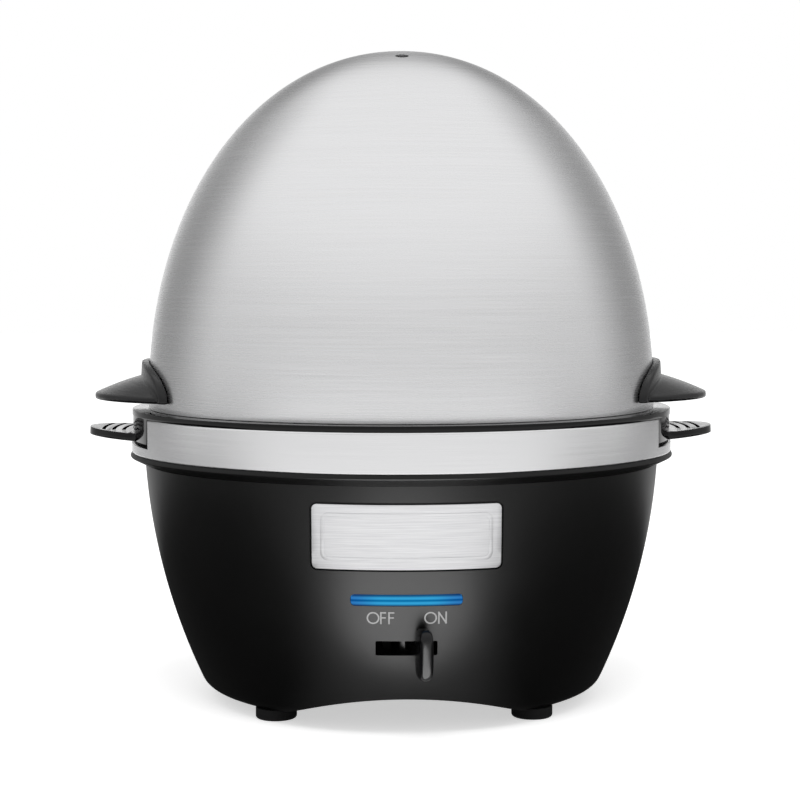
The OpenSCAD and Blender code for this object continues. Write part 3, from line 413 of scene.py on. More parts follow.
# Steel band. Thin stainless sheet rolled into a hoop and pushed down over the neck, with its top edge
# turned in and gaps for the tray's handles. Its round edges end a little way in, so its face stays flat.
BAND_T = 0.8
BAND_TOP_Z = 95.4
BAND_LOW_EDGE = 0.6
BAND_TOP_EDGE = 0.8
BAND_TURN = 1
HAIR_L = 45
band = turned("steel_band", [
    (RIM_R - BAND_T, LIP_Z), (RIM_R, LIP_Z, 0.4), (RIM_R, LIP_Z + BAND_LOW_EDGE),
    (RIM_R, BAND_TOP_Z - BAND_TOP_EDGE), (RIM_R, BAND_TOP_Z, 0.6), (RIM_R - BAND_TURN, BAND_TOP_Z),
    (NECK_IN_R, BAND_TOP_Z), (NECK_IN_R, NECK_TOP_Z), (RIM_R - BAND_T, NECK_TOP_Z),
    (RIM_R - BAND_T, LIP_Z)])
for notch in notch_tools():
    carve(band, notch)
smooth(band)


def brushed_round(name, colour, dark, line, blur):
    """Stainless steel brushed round the middle line: hair lines whose gloss is drawn out up and down."""
    finish, tree = new_finish(name)
    place = add_node(tree, "ShaderNodeTexCoord")
    parts = add_node(tree, "ShaderNodeSeparateXYZ", {}, {"Vector": place.outputs["Object"]})
    flat = add_node(tree, "ShaderNodeCombineXYZ", {}, {"X": parts.outputs["X"], "Y": parts.outputs["Y"]})
    reach = add_node(tree, "ShaderNodeVectorMath", {"operation": "LENGTH"}, {
        "Vector": flat.outputs["Vector"]})
    climb = add_node(tree, "ShaderNodeMath", {"operation": "SUBTRACT"}, {
        0: parts.outputs["Z"], 1: reach.outputs["Value"]})
    course = add_node(tree, "ShaderNodeCombineXYZ", {}, {
        "X": parts.outputs["X"], "Y": parts.outputs["Y"], "Z": climb.outputs["Value"]})
    stretch = add_node(tree, "ShaderNodeVectorMath", {"operation": "MULTIPLY"}, {
        0: course.outputs["Vector"], 1: (1 / (HAIR_L * MM), 1 / (HAIR_L * MM), 1 / (line * MM))})
    hair = add_node(tree, "ShaderNodeTexNoise", {}, {
        "Vector": stretch.outputs["Vector"], "Scale": 1, "Detail": 3, "Roughness": 0.7})
    shade = add_node(tree, "ShaderNodeValToRGB", {}, {"Fac": hair.outputs["Fac"]})
    shade.color_ramp.elements[0].position = 0.25
    shade.color_ramp.elements[0].color = linear(dark)
    shade.color_ramp.elements[1].position = 0.75
    shade.color_ramp.elements[1].color = linear(colour)
    gloss = add_node(tree, "ShaderNodeMapRange", {}, {
        "Value": hair.outputs["Fac"], "From Min": 0.25, "From Max": 0.75,
        "To Min": blur - 0.05, "To Max": blur + 0.05})
    relief = add_node(tree, "ShaderNodeBump", {}, {
        "Height": hair.outputs["Fac"], "Strength": 0.08, "Distance": 0.02 * MM})
    along = add_node(tree, "ShaderNodeTangent", {"direction_type": "RADIAL", "axis": "Z"})
    shader = add_node(tree, "ShaderNodeBsdfPrincipled", {}, {
        "Base Color": shade.outputs["Color"], "Metallic": 1, "Roughness": gloss.outputs["Result"],
        "Anisotropic": 0.7, "Anisotropic Rotation": 0.25, "Tangent": along.outputs["Tangent"],
        "Normal": relief.outputs["Normal"]})
    add_node(tree, "ShaderNodeOutputMaterial", {}, {"Surface": shader.outputs["BSDF"]})
    return finish


# Stainless steel, brushed on a lathe with a fine belt. The real hair lines are about 0.1 mm wide and
# wouldn't show, so they are drawn at 0.4 mm.
band_steel = brushed_round("brushed_stainless_band", "#ececed", "#e0e0e1", 0.4, 0.22)
fit(band, band_steel, "brushed_steel", "base", "trim_band")

# Front plate. Aluminium sheet, pressed with a plain raised border and bent to the wall.
# It is bonded into its seat in the housing.
PLATE_PROUD = 0.35
PLATE_BED = 0.05
PLATE_EDGE = 0.3
PLATE_REACH = 12
FRAME_IN = 2.6
FRAME_W = 1.1
FRAME_PROUD = 0.2
FRAME_CORNER = 2.4
FRAME_IN_CORNER = 1.6


def soften(piece, width, degrees=40):
    """Rounds every edge that is sharper than an angle, as a mould or a polishing wheel leaves it."""
    bpy.context.view_layer.objects.active = piece
    step = piece.modifiers.new("soften", "BEVEL")
    step.width = width * MM
    step.segments = 3
    step.limit_method = "ANGLE"
    step.angle_limit = math.radians(degrees)
    bpy.ops.object.modifier_apply(modifier=step.name)


def wall_skin(name, inner, outer, low, high, steps=12):
    """A layer of the side wall between two heights and two distances outside it."""
    rise = [low + (high - low) * i / steps for i in range(steps + 1)]
    loop = [(side_r(z, outer), z) for z in rise] + [(side_r(z, inner), z) for z in reversed(rise)]
    return turned(name, loop + loop[:1])


plate = front_bar(PLATE_W, PLATE_H, PLATE_Z, PLATE_CORNER, 8)
plate.name = "front_plate"
low = PLATE_Z - PLATE_REACH
high = PLATE_Z + PLATE_REACH
carve(plate, wall_skin("layer", PLATE_BED - PLATE_SINK, PLATE_PROUD, low, high), "INTERSECT")
soften(plate, PLATE_EDGE)
inside = FRAME_IN + FRAME_W
border = front_bar(PLATE_W - 2 * FRAME_IN, PLATE_H - 2 * FRAME_IN, PLATE_Z, FRAME_CORNER, 8)
carve(border, front_bar(PLATE_W - 2 * inside, PLATE_H - 2 * inside, PLATE_Z, FRAME_IN_CORNER, 8))
carve(border, wall_skin("layer", 0, PLATE_PROUD + FRAME_PROUD, low, high), "INTERSECT")
soften(border, PLATE_EDGE)
carve(plate, border, "UNION")
smooth(plate)

# Aluminium, brushed straight across with a coarse belt and clear lacquered.
# Its lines run level; the real ones are finer than 0.2 mm, so they are drawn at 0.25 mm.
plate_alloy, tree = new_finish("brushed_aluminium_plate")
place = add_node(tree, "ShaderNodeTexCoord")
stretch = add_node(tree, "ShaderNodeVectorMath", {"operation": "MULTIPLY"}, {
    0: place.outputs["Object"], 1: (1 / (20 * MM), 1 / (20 * MM), 1 / (0.25 * MM))})
hair = add_node(tree, "ShaderNodeTexNoise", {}, {
    "Vector": stretch.outputs["Vector"], "Scale": 1, "Detail": 3, "Roughness": 0.7})
shade = add_node(tree, "ShaderNodeValToRGB", {}, {"Fac": hair.outputs["Fac"]})
shade.color_ramp.elements[0].position = 0.25
shade.color_ramp.elements[0].color = linear("#d2d2d4")
shade.color_ramp.elements[1].position = 0.75
shade.color_ramp.elements[1].color = linear("#f2f2f3")
relief = add_node(tree, "ShaderNodeBump", {}, {
    "Height": hair.outputs["Fac"], "Strength": 0.1, "Distance": 0.02 * MM})
shader = add_node(tree, "ShaderNodeBsdfPrincipled", {}, {
    "Base Color": shade.outputs["Color"], "Metallic": 1, "Roughness": 0.38,
    "Normal": relief.outputs["Normal"]})
add_node(tree, "ShaderNodeOutputMaterial", {}, {"Surface": shader.outputs["BSDF"]})
fit(plate, plate_alloy, "badge_steel", "base", "badge_plate")

# Light bar. A clear blue acrylic moulding with a groove along its middle, pushed into its window
# under the plate and lit from behind by three lamps.
LIGHT_PROUD = 0.5
LIGHT_BACK = -3.65
LIGHT_EDGE = 0.35
LIGHT_EDGE_PROUD = 0.1
GROOVE_HALF = 0.3
GROOVE_PROUD = 0.05
low = LIGHT_Z - LIGHT_H / 2
high = LIGHT_Z + LIGHT_H / 2
section = [
    (low, LIGHT_EDGE_PROUD), (low + LIGHT_EDGE, LIGHT_PROUD), (LIGHT_Z - GROOVE_HALF, LIGHT_PROUD),
    (LIGHT_Z, GROOVE_PROUD), (LIGHT_Z + GROOVE_HALF, LIGHT_PROUD), (high - LIGHT_EDGE, LIGHT_PROUD),
    (high, LIGHT_EDGE_PROUD), (high, LIGHT_BACK), (low, LIGHT_BACK), (low, LIGHT_EDGE_PROUD)]
light_bar = front_bar(LIGHT_W, LIGHT_H, LIGHT_Z, LIGHT_CORNER, 6)
light_bar.name = "light_bar"
carve(light_bar, turned("ring", [(side_r(z, out), z) for z, out in section]), "INTERSECT")
smooth(light_bar)

# Acrylic, tinted blue and polished. Its glow is painted as emission, standing in for the lamps behind
# it:
# brighter in the middle and dimmer towards its ends, with painted highlights on its two ridges and
# painted shade in its groove and on its edges.
EDGE_SHADE_BLUE = "#0a4a78"
RIDGE_HIGHLIGHT_BLUE = "#2aa4da"
GROOVE_SHADE_BLUE = "#046ca4"
END_TINT = "#dcbce0"
RIDGE_OFF = 0.22
LIT_HALF = 0.2
blue_acrylic, tree = new_finish("blue_acrylic_painted_glow")
place = add_node(tree, "ShaderNodeTexCoord")
parts = add_node(tree, "ShaderNodeSeparateXYZ", {}, {"Vector": place.outputs["Object"]})
across = add_node(tree, "ShaderNodeMapRange", {}, {
    "Value": parts.outputs["X"], "From Min": -LIGHT_W / 2 * MM, "From Max": LIGHT_W / 2 * MM})
spread = add_node(tree, "ShaderNodeValToRGB", {}, {"Fac": across.outputs["Result"]})
climb = add_node(tree, "ShaderNodeMapRange", {}, {
    "Value": parts.outputs["Z"], "From Min": low * MM, "From Max": high * MM})
# Across the bar: painted highlights on the two ridges, and painted shade in the groove and on the edges.
lines = add_node(tree, "ShaderNodeValToRGB", {}, {"Fac": climb.outputs["Result"]})
for ramp, outer in ((spread, END_TINT), (lines, EDGE_SHADE_BLUE)):
    ramp.color_ramp.interpolation = "EASE"
    for end in (0, 1):
        ramp.color_ramp.elements[end].color = linear(outer)
for side in (-1, 1):
    spread.color_ramp.elements.new(0.5 + side * LIT_HALF).color = linear("#ffffff")
    lines.color_ramp.elements.new(0.5 + side * RIDGE_OFF).color = linear(RIDGE_HIGHLIGHT_BLUE)
lines.color_ramp.elements.new(0.5).color = linear(GROOVE_SHADE_BLUE)
# The painted glow: the painted highlights and shade across the bar, times the fall-off along it.
glow = add_node(tree, "ShaderNodeMix", {"data_type": "RGBA", "blend_type": "MULTIPLY"}, {
    0: 1.0, 6: lines.outputs["Color"], 7: spread.outputs["Color"]})
shader = add_node(tree, "ShaderNodeBsdfPrincipled", {}, {
    "Base Color": linear("#01101f"), "Roughness": 0.12, "IOR": 1.49, "Specular IOR Level": 0.15,
    "Emission Color": glow.outputs[2], "Emission Strength": 0.95})
add_node(tree, "ShaderNodeOutputMaterial", {}, {"Surface": shader.outputs["BSDF"]})
fit(light_bar, blue_acrylic, "blue_lens", "base", "light_lens")

# Switch words. OFF and ON in thin grey letters above the two ends of the lever's slot.
# They are pad printed on the wall.
WORD_LOW = 36.65
WORD_HIGH = 40.5
STROKE = 0.45
INK = 0.05
INK_ROOT = -0.1
O_PLACES = (-10.1, 7.2)
F_PLACES = (-7.75, -5.3)
F_TOP_W = 1.35
F_BAR_W = 1.25
F_BAR_RAISE = 0.1
N_LEFT = 9.7
N_RIGHT = 11.9


def stroke(start, end):
    """A straight pen stroke between two points of the front, as a bar through the wall."""
    run = Vector(end) - Vector(start)
    turn = math.atan2(run.y, run.x)
    bar = block((-STROKE / 2, -FAR, -STROKE / 2), (run.length + STROKE / 2, 0, STROKE / 2))
    bar.rotation_euler = (0, -turn, 0)
    bar.location = (start[0] * MM, 0, start[1] * MM)
    bpy.ops.object.transform_apply()
    return bar


def ring(x, radius):
    """A round letter drawn with the same pen."""
    z = (WORD_LOW + WORD_HIGH) / 2
    outside = rod(radius, (x, -FAR, z), (x, 0, z), 48)
    return carve(outside, rod(radius - STROKE, (x, -FAR - 1, z), (x, 1, z), 48))


base_line = WORD_LOW + STROKE / 2
cap_line = WORD_HIGH - STROKE / 2
bar_line = (WORD_LOW + WORD_HIGH) / 2 + F_BAR_RAISE
letters = [ring(x, (WORD_HIGH - WORD_LOW) / 2) for x in O_PLACES]
for left in F_PLACES:
    letters.append(stroke((left, base_line), (left, cap_line)))
    letters.append(stroke((left, cap_line), (left + F_TOP_W, cap_line)))
    letters.append(stroke((left, bar_line), (left + F_BAR_W, bar_line)))
letters.append(stroke((N_LEFT, base_line), (N_LEFT, cap_line)))
letters.append(stroke((N_LEFT, cap_line), (N_RIGHT, base_line)))
letters.append(stroke((N_RIGHT, base_line), (N_RIGHT, cap_line)))
words = letters[0]
words.name = "switch_words"
for letter in letters[1:]:
    carve(words, letter, "UNION")
carve(words, wall_skin("layer", INK_ROOT, INK, WORD_LOW - 1, WORD_HIGH + 1), "INTERSECT")

# Pad printing ink: a thin opaque grey film, flat and a little uneven where the pad pressed it on.
print_ink, tree = new_finish("grey_printing_ink")
place = add_node(tree, "ShaderNodeTexCoord")
press = add_node(tree, "ShaderNodeTexNoise", {}, {
    "Vector": place.outputs["Object"], "Scale": 1 / (0.8 * MM), "Detail": 2})
film = add_node(tree, "ShaderNodeValToRGB", {}, {"Fac": press.outputs["Fac"]})
film.color_ramp.elements[0].color = linear("#b4b4b4")
film.color_ramp.elements[1].color = linear("#cacaca")
shader = add_node(tree, "ShaderNodeBsdfPrincipled", {}, {
    "Base Color": film.outputs["Color"], "Roughness": 0.55, "IOR": 1.5})
add_node(tree, "ShaderNodeOutputMaterial", {}, {"Surface": shader.outputs["BSDF"]})
fit(words, print_ink, "panel_print", "base")

# Switch lever. A glossy black moulding on a pin behind the wall: a hub, an arm through the slot, an oval
# paddle, and a tail whose peg pushes the switch. The paddle is hollowed clear of the wall at both ends.
PIVOT_Y = -63.919
LEVER_THROW = math.radians(16.5)
PADDLE_Y = -18.4
PADDLE_Z = SLOT_Z - 0.9
PADDLE_D = 8.2
PADDLE_H = 15.8
PADDLE_T = 4.4
PADDLE_POWER = 4
PADDLE_CELL = 0.25
PADDLE_EASING = 60
PADDLE_GAP = 0.6
WALL_TOP_Z = 60
ARM_W = 3.2
ARM_H = 3.7
ARM_EDGE = 0.5
HUB_R = 4.5
HUB_HALF = 6.45
TAIL = 9
TAIL_R = 2.2
TAIL_T = 2.6
TAIL_Z = SLOT_Z + 1.3
PEG_R = 1.2
PEG_LOW = 3.5
PIN_BORE_R = 2.05
PIN_BORE_HALF = 10


def even_out(piece, cell, rounds):
    """Meshes a piece anew in even cells and eases its corners, as a worn mould does."""
    bpy.context.view_layer.objects.active = piece
    step = piece.modifiers.new("even", "REMESH")
    step.mode = "VOXEL"
    step.voxel_size = cell * MM
    bpy.ops.object.modifier_apply(modifier=step.name)
    step = piece.modifiers.new("ease", "SMOOTH")
    step.factor = 0.5
    step.iterations = rounds
    bpy.ops.object.modifier_apply(modifier=step.name)


def fuller(form, power, axes):
    """Takes a round form of unit width towards a box along some axes, by a power of two or more."""
    for corner in form.data.vertices:
        for axis in axes:
            reach = corner.co[axis]
            corner.co[axis] = math.copysign(abs(2 * reach) ** (2 / power) / 2, reach)


bpy.ops.object.select_all(action="DESELECT")
bpy.ops.mesh.primitive_uv_sphere_add(segments=96, ring_count=64, radius=0.5)
lever = bpy.context.object
lever.name = "lever"
fuller(lever, PADDLE_POWER, (0, 1, 2))
lever.scale = Vector((PADDLE_T, PADDLE_D, PADDLE_H)) * MM
lever.location = Vector((0, PADDLE_Y, PADDLE_Z)) * MM
bpy.ops.object.transform_apply()
even_out(lever, PADDLE_CELL, PADDLE_EASING)
for side in (-1, 1):
    wall_form = turned("wall_form", wall_outline(PADDLE_GAP, WALL_TOP_Z) + [(0, WALL_TOP_Z)])
    swing = side * LEVER_THROW
    wall_form.location = (PIVOT_Y * MM * math.sin(swing), -PIVOT_Y * MM * math.cos(swing), 0)
    bpy.ops.object.transform_apply()
    carve(lever, wall_form)
arm = block((-ARM_W / 2, PADDLE_Y, SLOT_Z - ARM_H / 2), (ARM_W / 2, 0, SLOT_Z + ARM_H / 2))
soften(arm, ARM_EDGE)
carve(lever, arm, "UNION")
carve(lever, rod(HUB_R, (0, 0, SLOT_Z - HUB_HALF), (0, 0, SLOT_Z + HUB_HALF), 64), "UNION")
carve(lever, block((-TAIL_R, 0, TAIL_Z), (TAIL_R, TAIL, TAIL_Z + TAIL_T)), "UNION")
carve(lever, rod(TAIL_R, (0, TAIL, TAIL_Z), (0, TAIL, TAIL_Z + TAIL_T), 48), "UNION")
carve(lever, rod(PEG_R, (0, TAIL, SLOT_Z - PEG_LOW), (0, TAIL, TAIL_Z + 1), 48), "UNION")
carve(lever, rod(PIN_BORE_R, (0, 0, SLOT_Z - PIN_BORE_HALF), (0, 0, SLOT_Z + PIN_BORE_HALF), 48))
lever.rotation_euler = (0, 0, LEVER_THROW)
lever.location = (0, PIVOT_Y * MM, 0)
bpy.ops.object.select_all(action="DESELECT")
lever.select_set(True)
bpy.ops.object.transform_apply()
smooth(lever)

# ABS from a polished tool: deep black with clear highlights and the faint smears of fingers.
gloss_black, tree = new_finish("gloss_black_abs")
place = add_node(tree, "ShaderNodeTexCoord")
smear = add_node(tree, "ShaderNodeTexNoise", {}, {
    "Vector": place.outputs["Object"], "Scale": 1 / (6 * MM), "Detail": 4, "Distortion": 0.6})
gloss = add_node(tree, "ShaderNodeMapRange", {}, {
    "Value": smear.outputs["Fac"], "From Min": 0.3, "From Max": 0.7, "To Min": 0.16, "To Max": 0.24})
shader = add_node(tree, "ShaderNodeBsdfPrincipled", {}, {
    "Base Color": linear("#0a0a0b"), "Roughness": gloss.outputs["Result"], "IOR": 1.53,
    "Specular IOR Level": 0.3})
add_node(tree, "ShaderNodeOutputMaterial", {}, {"Surface": shader.outputs["BSDF"]})
fit(lever, gloss_black, "lever_plastic", "lever", "switch_lever")

# Circuit board and its lamps. A glass fibre board with green solder mask over copper tracks, screwed in
# behind the light bar, and three lamps of clear resin.
# Solder mask: a glossy green lacquer, a little paler where it runs over the edges of the tracks.
solder_mask, tree = new_finish("green_solder_mask")
place = add_node(tree, "ShaderNodeTexCoord")
tracks = add_node(tree, "ShaderNodeTexBrick", {"offset": 0.5}, {
    "Vector": place.outputs["Object"], "Scale": 1 / (5 * MM), "Mortar Size": 0.04,
    "Color1": linear("#1d5a2e"), "Color2": linear("#226336"), "Mortar": linear("#3b8a52")})
shader = add_node(tree, "ShaderNodeBsdfPrincipled", {}, {
    "Base Color": tracks.outputs["Color"], "Roughness": 0.35, "IOR": 1.55})
add_node(tree, "ShaderNodeOutputMaterial", {}, {"Surface": shader.outputs["BSDF"]})
coat(solder_mask, "led_board")

# Epoxy resin, cast: pale, faintly blue, with a gloss that is a little uneven.
clear_resin, tree = new_finish("clear_lamp_resin")
place = add_node(tree, "ShaderNodeTexCoord")
cure = add_node(tree, "ShaderNodeTexNoise", {}, {
    "Vector": place.outputs["Object"], "Scale": 1 / (1 * MM), "Detail": 2})
gloss = add_node(tree, "ShaderNodeMapRange", {}, {
    "Value": cure.outputs["Fac"], "To Min": 0.08, "To Max": 0.16})
shader = add_node(tree, "ShaderNodeBsdfPrincipled", {}, {
    "Base Color": linear("#cfe6ff"), "Roughness": gloss.outputs["Result"], "IOR": 1.5})
add_node(tree, "ShaderNodeOutputMaterial", {}, {"Surface": shader.outputs["BSDF"]})
coat(clear_resin, "leds")

# Water pan and heat shield. The pan is pressed from stainless sheet, with studs welded under its floor.
# The shield below it is pressed from galvanised sheet.
PAN_RIM_Z = 81.6
PAN_T = 0.8
PAN_RIM_R = 86.35
PAN_MOUTH_R = 81.35
PAN_FLOOR_R = 76.35
PAN_FLOOR_Z = 69.0
PAN_LEAN = 0.5
STUD_OFF = 52
STUD_R = 2
STUD_LOW_Z = 50.7
STUD_ROOT = 0.2
pan = turned("water_pan", [
    (0, PAN_FLOOR_Z), (PAN_FLOOR_R + PAN_LEAN, PAN_FLOOR_Z, 2.8),
    (PAN_MOUTH_R + PAN_LEAN, PAN_RIM_Z, 0.6), (PAN_RIM_R, PAN_RIM_Z, 0.2),
    (PAN_RIM_R, PAN_RIM_Z + PAN_T, 0.3), (PAN_MOUTH_R, PAN_RIM_Z + PAN_T, 1.4),
    (PAN_FLOOR_R, PAN_FLOOR_Z + PAN_T, 2), (0, PAN_FLOOR_Z + PAN_T)])
for turn in (90, 210, 330):
    x = STUD_OFF * math.cos(math.radians(turn))
    y = STUD_OFF * math.sin(math.radians(turn))
    carve(pan, rod(STUD_R, (x, y, STUD_LOW_Z), (x, y, PAN_FLOOR_Z + STUD_ROOT), 32), "UNION")
smooth(pan)

# Stainless steel, spun: fine rings round the middle, greyer and duller than the lid's. The rings are
# finer than 0.2 mm and are drawn at 0.5 mm.
pan_steel = brushed_round("spun_stainless_pan", "#c6c7c9", "#b2b3b5", 0.5, 0.32)
fit(pan, pan_steel, "sheet_steel", "base", "heating_plate")

# Galvanised sheet, rolled: a dull grey with the faint spangle of its zinc, about 4 mm across.
rolled_sheet, tree = new_finish("rolled_galvanised_sheet")
place = add_node(tree, "ShaderNodeTexCoord")
spangle = add_node(tree, "ShaderNodeTexVoronoi", {}, {
    "Vector": place.outputs["Object"], "Scale": 1 / (4 * MM)})
tone = add_node(tree, "ShaderNodeValToRGB", {}, {"Fac": spangle.outputs["Distance"]})
tone.color_ramp.elements[0].color = linear("#aeb1b5")
tone.color_ramp.elements[1].color = linear("#c4c7ca")
gloss = add_node(tree, "ShaderNodeMapRange", {}, {
    "Value": spangle.outputs["Distance"], "To Min": 0.3, "To Max": 0.45})
shader = add_node(tree, "ShaderNodeBsdfPrincipled", {}, {
    "Base Color": tone.outputs["Color"], "Metallic": 1, "Roughness": gloss.outputs["Result"]})
add_node(tree, "ShaderNodeOutputMaterial", {}, {"Surface": shader.outputs["BSDF"]})
coat(rolled_sheet, "heat_shield")

# Heater, thermostat, fuse and seal under the pan. The heater is a drawn steel tube, the thermostat has
# a glazed body, the fuse is dipped in resin, and the seal is moulded silicone.
# Each is even in colour, with a faint mottle of about 1 mm.
for node, name, first, second, rough, metal in (
        ("heating_element", "drawn_heater_tube", "#6f7073", "#8d8f92", 0.45, 1),
        ("thermostat", "glazed_thermostat", "#d2cdbf", "#e0dccf", 0.3, 0),
        ("thermal_fuse", "fuse_resin", "#b9a874", "#cbbd91", 0.5, 0),
        ("plate_seal", "red_silicone", "#9c3a24", "#b5482f", 0.6, 0)):
    finish, tree = new_finish(name)
    place = add_node(tree, "ShaderNodeTexCoord")
    mottle = add_node(tree, "ShaderNodeTexNoise", {}, {
        "Vector": place.outputs["Object"], "Scale": 1 / (1.2 * MM), "Detail": 3})
    tone = add_node(tree, "ShaderNodeValToRGB", {}, {"Fac": mottle.outputs["Fac"]})
    tone.color_ramp.elements[0].color = linear(first)
    tone.color_ramp.elements[1].color = linear(second)
    relief = add_node(tree, "ShaderNodeBump", {}, {
        "Height": mottle.outputs["Fac"], "Strength": 0.1, "Distance": 0.03 * MM})
    shader = add_node(tree, "ShaderNodeBsdfPrincipled", {}, {
        "Base Color": tone.outputs["Color"], "Metallic": metal, "Roughness": rough,
        "Normal": relief.outputs["Normal"]})
    add_node(tree, "ShaderNodeOutputMaterial", {}, {"Surface": shader.outputs["BSDF"]})
    coat(finish, node)

# Egg tray. A glossy black moulding whose flange lies on the band, with a slotted handle at each side.
# It lifts out, so nothing holds it. Its shape is the solid's, with the edges eased.
TRAY_EDGE = 0.35
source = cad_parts["egg_tray"]
tray = bpy.data.objects.new("tray", source.data.copy())
bpy.context.collection.objects.link(tray)
bpy.ops.object.select_all(action="DESELECT")
tray.select_set(True)
bpy.context.view_layer.objects.active = tray
bpy.ops.object.mode_set(mode="EDIT")
bpy.ops.mesh.select_all(action="SELECT")
bpy.ops.mesh.remove_doubles(threshold=MM / 200)
bpy.ops.mesh.dissolve_limited(angle_limit=math.radians(0.5))
bpy.ops.object.mode_set(mode="OBJECT")
soften(tray, TRAY_EDGE)
smooth(tray)

# Polypropylene from a polished tool: black, smooth, and mirror-like where it is seen edge on.
tray_black, tree = new_finish("polished_black_tray")
place = add_node(tree, "ShaderNodeTexCoord")
smear = add_node(tree, "ShaderNodeTexNoise", {}, {
    "Vector": place.outputs["Object"], "Scale": 1 / (8 * MM), "Detail": 3, "Distortion": 0.5})
gloss = add_node(tree, "ShaderNodeMapRange", {}, {
    "Value": smear.outputs["Fac"], "From Min": 0.3, "From Max": 0.7, "To Min": 0.06, "To Max": 0.12})
shader = add_node(tree, "ShaderNodeBsdfPrincipled", {}, {
    "Base Color": linear("#070707"), "Roughness": gloss.outputs["Result"], "IOR": 1.5,
    "Specular IOR Level": 0.25})
add_node(tree, "ShaderNodeOutputMaterial", {}, {"Surface": shader.outputs["BSDF"]})
fit(tray, tray_black, "tray_plastic", "tray", "egg_tray")

# Lid. Stainless sheet drawn and spun into an egg-shaped dome with a small steam hole near its top.
# It stands loose on the tray, so that it can be lifted off.
LID_R = 85.0
LID_T = 0.8
LID_FOOT_Z = 97.2
DOME_Z = 100.0
DOME_RISE = 116.0
DOME_POWER = 2.06
STEAM_Y = 22.3
STEAM_R = 2.2
STEAM_RUN_Y = 1.3
STEAM_RUN_Z = 3.8


def dome_outline(out, steps=96):
    """The dome's outline from its foot to its top, moved out by a distance."""
    turns = [math.pi / 2 * i / steps for i in range(steps)]
    curve = [((LID_R + out) * math.cos(t) ** (2 / DOME_POWER),
              DOME_Z + (DOME_RISE + out) * math.sin(t) ** (2 / DOME_POWER)) for t in turns]
    return [(LID_R + out, LID_FOOT_Z)] + curve + [(0, DOME_Z + DOME_RISE + out)]


outside = dome_outline(0)
inside = dome_outline(-LID_T)
dome = turned("dome", list(reversed(inside)) + [(LID_R, LID_FOOT_Z, 0.3)] + outside[1:])
steam_z = DOME_Z + DOME_RISE * (1 - (STEAM_Y / LID_R) ** DOME_POWER) ** (1 / DOME_POWER)
carve(dome, rod(STEAM_R, (0, -STEAM_Y - STEAM_RUN_Y, steam_z + STEAM_RUN_Z),
                (0, -STEAM_Y + STEAM_RUN_Y, steam_z - STEAM_RUN_Z), 48))
smooth(dome)

# Stainless steel, brushed as the band is, with a softer gloss.
lid_steel = brushed_round("brushed_stainless_lid", "#e9e9ea", "#dededf", 0.4, 0.28)
fit(dome, lid_steel, "lid_steel", "lid", "lid_dome")

# Lid handles. Satin black phenolic mouldings, each a flat wing on a pad that lies on the dome.
# They are screwed on from inside the lid.
WING_X = 61.2
WING_R = 42
WING_Z = 100.4
CROWN_R = 99.5
CROWN_Z = 12.1
PAD_W = 81
PAD_H = 12.9
PAD_POWER = 2.35
PAD_T = 2.5
PAD_REACH = 120
PAD_FROM = 40
HANDLE_GAP = 0.15
HANDLE_FROM = 42
HANDLE_CELL = 0.4
HANDLE_EASING = 10
WING_TALL = 20

handle = rod(WING_R, (WING_X, 0, WING_Z), (WING_X, 0, WING_Z + WING_TALL), 192)
handle.name = "handle_right"
bpy.ops.object.select_all(action="DESELECT")
bpy.ops.mesh.primitive_uv_sphere_add(segments=192, ring_count=96, radius=CROWN_R * MM,
                                     location=(WING_X * MM, 0, CROWN_Z * MM))
carve(handle, bpy.context.object, "INTERSECT")
pad = rod(1 / MM, (0, 0, 0), (1 / MM, 0, 0), 128)
for corner in pad.data.vertices:
    corner.co.y = math.copysign(abs(corner.co.y) ** (2 / PAD_POWER), corner.co.y)
    corner.co.z = math.copysign(abs(corner.co.z) ** (2 / PAD_POWER), corner.co.z)
pad.scale = Vector((PAD_REACH, PAD_W / 2, PAD_H)) * MM
pad.location = (0, 0, WING_Z * MM)
bpy.ops.object.transform_apply()
carve(pad, block((PAD_FROM, -FAR, WING_Z), (FAR, FAR, FAR)), "INTERSECT")
carve(pad, turned("shell", dome_outline(HANDLE_GAP + PAD_T, 64) + [(0, LID_FOOT_Z)]), "INTERSECT")
carve(handle, pad, "UNION")
carve(handle, block((-FAR, -FAR, 0), (HANDLE_FROM, FAR, FAR)))
carve(handle, turned("shell", dome_outline(HANDLE_GAP, 64) + [(0, LID_FOOT_Z)]))
even_out(handle, HANDLE_CELL, HANDLE_EASING)
smooth(handle, 60)

# Phenolic moulding: a warm black that rubs to a satin grey sheen on its edges and crown.
satin_phenolic, tree = new_finish("satin_black_phenolic")
place = add_node(tree, "ShaderNodeTexCoord")
grain = add_node(tree, "ShaderNodeTexNoise", {}, {
    "Vector": place.outputs["Object"], "Scale": 1 / (0.4 * MM), "Detail": 3})
tone = add_node(tree, "ShaderNodeValToRGB", {}, {"Fac": grain.outputs["Fac"]})
tone.color_ramp.elements[0].color = linear("#0a0a0b")
tone.color_ramp.elements[1].color = linear("#0f0f10")
relief = add_node(tree, "ShaderNodeBump", {}, {
    "Height": grain.outputs["Fac"], "Strength": 0.2, "Distance": 0.03 * MM})
shader = add_node(tree, "ShaderNodeBsdfPrincipled", {}, {
    "Base Color": tone.outputs["Color"], "Roughness": 0.24, "IOR": 1.55,
    "Specular IOR Level": 0.3, "Normal": relief.outputs["Normal"]})
add_node(tree, "ShaderNodeOutputMaterial", {}, {"Surface": shader.outputs["BSDF"]})
fit(handle, satin_phenolic, "handle_plastic", "lid", "lid_handle_right")

